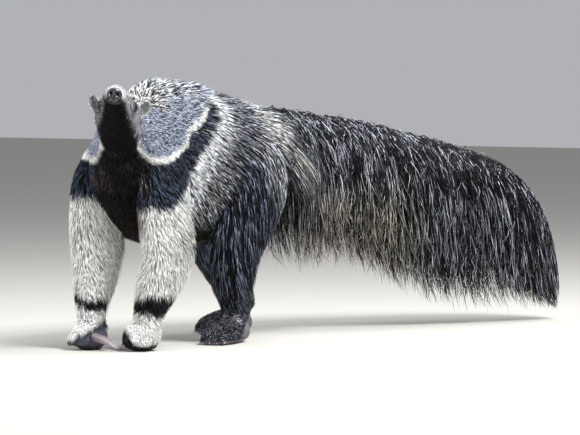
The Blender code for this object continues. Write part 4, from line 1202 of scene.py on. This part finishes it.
def tuft_colours(dark_hair, pale_hair, pale_share, segments, draw):
    """A colour for each point of each tuft: dark at the root by painted shade deep in the coat, and pale
    towards the tip of some.
    """
    number = len(pale_share)
    is_pale = (draw.random(number) < pale_share)[:, None, None]
    level = draw.uniform(0.70, 1.25, number)[:, None, None]
    ramp = np.linspace(0, 1, segments + 1)[None, :, None]
    # painted shade: every tuft darkens towards its root, where it lies deep in the coat
    shade = 0.55 + 0.45 * ease(ramp, 0.0, 0.5)
    dark_tuft = dark_hair[:, None] * (0.8 + 0.5 * ramp)
    reach = ease(ramp, 0.02, 0.40)
    pale_tuft = dark_hair[:, None] * (1 - reach) + pale_hair[:, None] * reach
    return np.where(is_pale, pale_tuft, dark_tuft) * level * shade


# The finishes run from the face's smooth hair, with hardly a band, over the neck's and the flank's coarse
# hair, which is strongly banded and dull, to the leg's, which is the smoothest and has a long gloss.
round_eye = is_part("lid") & (at < 0.62)
furred_face = is_part("head", "ear", "lid") & (bare == 0) & ~round_eye
# group: its parts, how many tufts, their segments, a finish label and the hair finish
COATS = {
    "face_fur": (furred_face, 10500, 2, "grey_coat",
                 hair_material("Short smooth face hair", 1.0, 1.5, 0.75, 1.25, 0.60)),
    "neck_fur": (is_part("trunk") & ((at > 5.6) | (patch > 0.5)), 24000, 2, "grey_coat",
                 hair_material("Speckled blue-grey neck hair", 1.6, 1.2, 0.42, 1.45, 0.55)),
    "flank_hair": (is_part("trunk") & (at <= 5.75) & (patch <= 0.6), 33500, 2, "grizzled_coat",
                   hair_material("Coarse grizzled flank hair", 2.6, 1.6, 0.30, 1.60, 0.52)),
    "foreleg_fur": (is_part("foreleg") & (bare == 0), 18500, 2, "cream_coat",
                    hair_material("Cream foreleg hair", 1.6, 1.6, 0.72, 1.22, 0.55)),
    "foot_fur": (is_part("forefoot", "hindfoot") & (bare == 0) & (z > 0.006), 6000, 2, "black_coat",
                 hair_material("Short dense foot hair", 1.0, 1.2, 0.70, 1.30, 0.58)),
    "hindleg_hair": (is_part("hindleg"), 13000, 2, "black_coat",
                     hair_material("Glossy black leg hair", 2.2, 1.8, 0.35, 1.60, 0.42)),
}
face_dark, face_pale, face_share = (values[corners].mean(1) for values in (dark, pale, share))
for seed, (name, (wanted, number, segments, slot, finish)) in enumerate(COATS.items()):
    draw = np.random.default_rng(100 + seed)
    root, normal, way, trio, mix, nearest_point = rooted(wanted, number, draw)
    reach, rise, breadth = ((values[trio] * mix).sum(1) for values in (length, height, width))
    sideways = np.cross(normal, unit(way))
    turn = 0.16 * ripple(root, 0.05, 20) + draw.normal(0, 0.15, number)
    way = unit(unit(way) + sideways * turn[:, None])
    reach = reach * draw.uniform(0.65, 1.20, number)
    rise = rise * draw.uniform(0.40, 1.10, number)
    breadth = breadth * draw.uniform(0.60, 1.25, number)
    paths, outs, under = grow(root, normal, way, reach, rise, segments)
    paths[..., 2] = np.maximum(paths[..., 2], 0.0015)
    below = under[:, segments // 2]
    colours = tuft_colours(face_dark[below], face_pale[below], face_share[below], segments, draw)
    for piece in tuft_mesh(name, paths, outs, breadth, colours, map_places(nearest_point), finish):
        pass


# Single long pale bristles that stand out of the coat along the back and the neck. They are rooted
# in the skin among the tufts and rise over them, which breaks the outline as in the real coat.
draw = np.random.default_rng(60)
number = 420
on_top = is_part("trunk") & (v > 0.45) & (at < 6.2)
root, normal, way, trio, mix, nearest_point = rooted(on_top, number, draw)
reach, rise = ((values[trio] * mix).sum(1) for values in (length, height))
way = unit(unit(way) + np.cross(normal, unit(way)) * draw.normal(0, 0.35, (number, 1)))
paths, outs, _ = grow(root, normal, way, reach * draw.uniform(0.7, 1.1, number),
                          rise * draw.uniform(1.10, 1.45, number), 3)
bristle = np.zeros((number, 3)) + linear("#D9DAD8")
colours = tuft_colours(bristle * 0.4, bristle, np.full(number, 0.85), 3, draw)
# one thick hair each, so it has no bands and a narrow gloss
bristle_finish = hair_material("Stiff pale bristle", 1.0, 1.0, 0.9, 1.1, 0.45)
breadth = np.full(number, 0.0013)
roots = map_places(nearest_point)
for piece in tuft_mesh("stray_bristles", paths, outs, breadth, colours, roots, bristle_finish):
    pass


# The rump's long hair: coarse banded guard hair up to 125 mm long. It leaves the body over the hips
# and falls back over the root of the tail, where it mixes with the tail's own hair.
draw = np.random.default_rng(61)
number, segments = 2600, 3
on_rump = is_part("trunk") & (at < 1.7) & (v > -0.35)
root, normal, way, _, _, nearest_point = rooted(on_rump, number, draw)
sideways = np.sign(normal[:, :1]) * np.array((1.0, 0, 0))
way = unit(unit(way) * 0.5 + normal * 0.30 + np.array((0, 0.75, -0.30)) + draw.normal(0, 0.12, (number, 3)))
reach = draw.uniform(0.045, 0.125, (number, 1))
steps = np.linspace(0, 1, segments + 1)[:, None, None]
paths = root - normal * ROOT_DEPTH + way * reach * steps + (DOWN * 0.45 - sideways * 0.10) * reach * steps**2
paths = paths.transpose(1, 0, 2)
outs = np.repeat(unit(normal + sideways * 0.6)[:, None], segments + 1, 1)
rump_dark, rump_pale = dark[nearest_point] * 0.8, pale[nearest_point] * 0.9
colours = tuft_colours(rump_dark, rump_pale, share[nearest_point] * 0.65, segments, draw)
roots = map_places(nearest_point)
breadth = draw.uniform(0.0012, 0.0025, number)
for piece in tuft_mesh("rump_locks", paths, outs, breadth, colours, roots, COATS["flank_hair"][4]):
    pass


# The tail's hair: up to 300 mm long, stiff and straight. It leaves the thin tail at its top and sides
# and hangs down on both sides as a curtain, and along the top it lies back.

# from inner to outer hair: how far out a path is, in shares of the hair's half width, and how far down
TAIL_PATHS = np.array([
    ((0.10, 0.34), (0.30, 0.44), (0.40, 0.64), (0.38, 0.84), (0.26, 1.00)),
    ((0.16, 0.24), (0.50, 0.34), (0.64, 0.56), (0.60, 0.78), (0.48, 0.96)),
    ((0.20, 0.16), (0.62, 0.19), (0.84, 0.40), (0.84, 0.63), (0.76, 0.86)),
    ((-0.04, 0.08), (0.44, 0.05), (0.90, 0.20), (1.00, 0.43), (0.98, 0.68)),
    ((-0.16, 0.05), (0.10, 0.00), (0.52, 0.06), (0.78, 0.20), (0.88, 0.42)),
])
# group: how many tufts, their segments, where on a path they start, their length in shares of a path,
# width, pale share, and how far they slant and bend along the tail
TAIL_HAIR = {
    "tail_strands": (8200, 4, (0.0, 0.0), (0.50, 1.00), 0.0029, 0.16, 0.16, 0.045),
    "tail_wisps": (21500, 2, (0.0, 0.84), (0.12, 0.28), 0.0017, 0.46, 0.17, 0.055),
}
# the distance between two stations of the tail
TAIL_STEP = 0.118
# the stiffest hair: near black with dull pale bands, and a faint gloss
tail_finish = hair_material("Long wiry tail hair", 4.0, 1.6, 0.45, 1.45, 0.48)


def tail_path_point(at, layer, down, left, out_by):
    """Points of the tail's hair: from places along the tail, layers, shares of a path and sides."""
    rows = along_rows(TAIL_PATHS.reshape(len(TAIL_PATHS), -1), layer).reshape(-1, 5, 2)
    knot = np.clip(down, 0, 1) * 4
    lower = np.minimum(knot.astype(int), 3)
    beyond = (knot - lower)[:, None]
    pick = np.arange(len(at))
    shape = rows[pick, lower] * (1 - beyond) + rows[pick, lower + 1] * beyond
    row, way, side = tail_frame(np.clip(at, 0, len(TAIL) - 1.02))
    level = row[:, 5] + (row[:, 6] - row[:, 5]) * (shape[:, 1] + out_by * 0.4)
    hip = 0.026 * (1 - ease(at, -0.2, 0.9))
    spread = (row[:, 7] + hip) * (shape[:, 0] + out_by) * left
    centre = row[:, :3] + way * (np.minimum(at, 0) * TAIL_STEP)[:, None]
    return np.column_stack((centre[:, :2], level)) + side * spread[:, None] + place


for seed, (name, hair) in enumerate(TAIL_HAIR.items()):
    number, segments, starts, shares, broad, paleness, slant, bend = hair
    draw = np.random.default_rng(40 + seed)
    tail_at = draw.uniform(-0.25, 6.75, number)
    layer = draw.random(number) ** (0.8 if seed == 0 else 0.55) * (len(TAIL_PATHS) - 1)
    left = np.where(draw.random(number) < 0.5, -1, 1)
    first = draw.uniform(*starts, number)
    span = draw.uniform(*shares, number)
    sweep = 0.50 + 1.75 * ease(tail_at, 4.2, 6.6)
    phase = draw.uniform(0, 2 * np.pi, number)
    out_by = draw.normal(0, 0.035, number)
    tilt = draw.normal(0, slant, number)
    paths = []
    for k in range(segments + 1):
        step = k / segments
        down = first + span * step
        drift = np.column_stack((tail_at * 0.1 + 0.05 * down, layer * 0.03 + 0.02 * down, left))
        wave = 0.10 * ripple(drift, 0.06, 31)
        curl = bend * np.sin(phase + 4.0 * step) * (0.3 + 0.7 * step)
        where = tail_at + sweep * np.clip(down, 0, 1) ** 0.7 + wave * down + curl + tilt * step**1.3
        paths.append(tail_path_point(where, layer, down, left, out_by * (0.3 + 0.7 * step)))
    paths = np.stack(paths, 1)
    way = tail_frame(tail_at.clip(0))[1]
    outs = np.cross(UP, way) * left[:, None] + way * draw.normal(0, 0.4, (number, 1))
    outs = np.repeat(outs[:, None], segments + 1, 1)
    outs[:, 0] += UP * 0.6
    low_down = ease(-paths[:, segments // 2, 2], -0.46, -0.26)
    tan = (ease(-np.abs(tail_at - 1.4), -2.2, -0.8) * low_down)[:, None]
    dark_hair = np.zeros((number, 3)) + linear("#0A0A0E")
    pale_hair = linear("#AEB1BE") * (1 - tan) + linear("#C4BEB0") * tan
    pale_share = paleness - 0.10 * ease(tail_at, 1.5, 3.5) + 0.10 * tan[:, 0]
    colours = tuft_colours(dark_hair, pale_hair, pale_share, segments, draw)
    breadth = broad * draw.uniform(0.60, 1.25, number) * np.interp(tail_at, (0, 5, 7), (1, 0.95, 0.75))
    roots = on_map(np.full(number, PARTS.index("tail")), tail_at.clip(0, TAIL_FLESH_END),
                   np.where(left > 0, 0.3, np.pi - 0.3) + draw.uniform(-0.3, 1.2, number) * left)
    for piece in tuft_mesh(name, paths, outs, breadth, colours, roots, tail_finish):
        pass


# The claws: heavy curved horn, rolled inwards on the forefeet under the weight, and short and blunt
# on the hind feet. Horn grows in layers, so it is streaked 4 mm apart and paler at the tip, and the
# ground wears it to a dull polish.
horn, tree, shader = new_material("Polished grey horn")
spot = add_node(tree, "ShaderNodeTexCoord")
LAYERS = 1 / 0.004
layers = add_node(tree, "ShaderNodeTexNoise", Vector=spot.outputs["Object"], Scale=LAYERS, Detail=5.0,
                  Distortion=1.2)
tint(tree, shader, layers.outputs["Fac"], From_Min=0.3, From_Max=0.7, To_Min=0.7, To_Max=1.2)
relief = add_node(tree, "ShaderNodeBump", Strength=0.4, Distance=0.0006, Height=layers.outputs["Fac"])
tree.links.new(relief.outputs["Normal"], shader.inputs["Normal"])
shader.inputs["Roughness"].default_value = 0.36
shader.inputs["IOR"].default_value = 1.54


# in, ahead and up from the foot's axis, length, and how far it points back, as in the model's source
FORE_CLAWS = {
    "left": ((0.026, 0.030, -0.012, 0.070, 0.70), (0.026, 0.006, -0.016, 0.056, 0.70)),
    "right": ((0.034, 0.042, -0.006, 0.080, -0.12), (0.034, 0.017, -0.012, 0.066, -0.12)),
}
# a claw's radius at its root, and by how many degrees it curves down
FORE_CLAW_RADIUS, FORE_CLAW_BEND = 0.0115, 46
HIND_CLAW_LENGTH, HIND_CLAW_RADIUS, HIND_CLAW_BEND = 0.030, 0.0046, 40


def claw_form(root, way, length, radius, bend, sides=20, count=26):
    """One curved claw, with the share of its length at each of its points."""
    way = unit(np.asarray(way, float))
    side = unit(np.cross(way, UP))
    along = np.linspace(0, 1, count + 1)[:, None]
    turn = np.radians(bend * along)
    ahead = way * np.cos(turn) - UP * np.sin(turn)
    size = radius * (1 - 0.90 * along**1.5)
    centre = root + way * length * along - UP * 0.012 * along**2 * (length / 0.07)
    centre[:, 2:] = np.maximum(centre[:, 2:], size + 0.001)
    around = np.linspace(0, 2 * np.pi, sides, endpoint=False)[None, :, None]
    ridge = 1 + 0.10 * np.cos(around) ** 8
    top = np.cross(side, ahead)
    tall = size[:, None]
    wall = side * (0.64 * tall) * np.cos(around) * ridge + top[:, None] * tall * np.sin(around)
    return closed_loft(centre[:, None] + wall), np.append(np.repeat(along, sides), (0.0, 1.0))


def claw_piece(name, forms):
    """One piece of the scene from some claws."""
    points, faces = joined([form for form, _ in forms])
    shares = np.concatenate([share for _, share in forms])[:, None]
    made = solid(name, points, faces, horn)
    give_colours(made.data, linear("#4C444A") * (1 - shares) + linear("#A89DA2") * shares)
    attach(made, "root")
    return made


for side in ("left", "right"):
    inward = -1 if side == "left" else 1
    wrist = LEGS[f"foreleg_{side}"][-1][:3] + place
    for number, (inwards, forward, rise, long, back) in enumerate(FORE_CLAWS[side]):
        root = wrist + (inward * inwards, -forward, rise)
        form = claw_form(root, (inward, back, -0.14), long, FORE_CLAW_RADIUS, FORE_CLAW_BEND)
        claw = claw_piece(f"fore_claw_{side}_{number + 1}", [form])
        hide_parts(f"claw_{side}_{number + 1}")
    form = tubes[f"hindfoot_{side}"]
    heel = form["centre"][0] * (1, 1, 0)
    claws = []
    # five short toes, of which the middle one reaches furthest
    for k in range(-2, 3):
        out = k * TOE_SPACING
        root = heel + form["ahead"][0] * (0.165 - 0.020 - abs(k) * 0.006) + form["side"][0] * out + UP * 0.012
        way = form["ahead"][0] + form["side"][0] * out * 6 - UP * 0.1
        claws.append(claw_form(root, way, HIND_CLAW_LENGTH, HIND_CLAW_RADIUS, HIND_CLAW_BEND))
    claw_piece(f"hind_claws_{side}", claws)
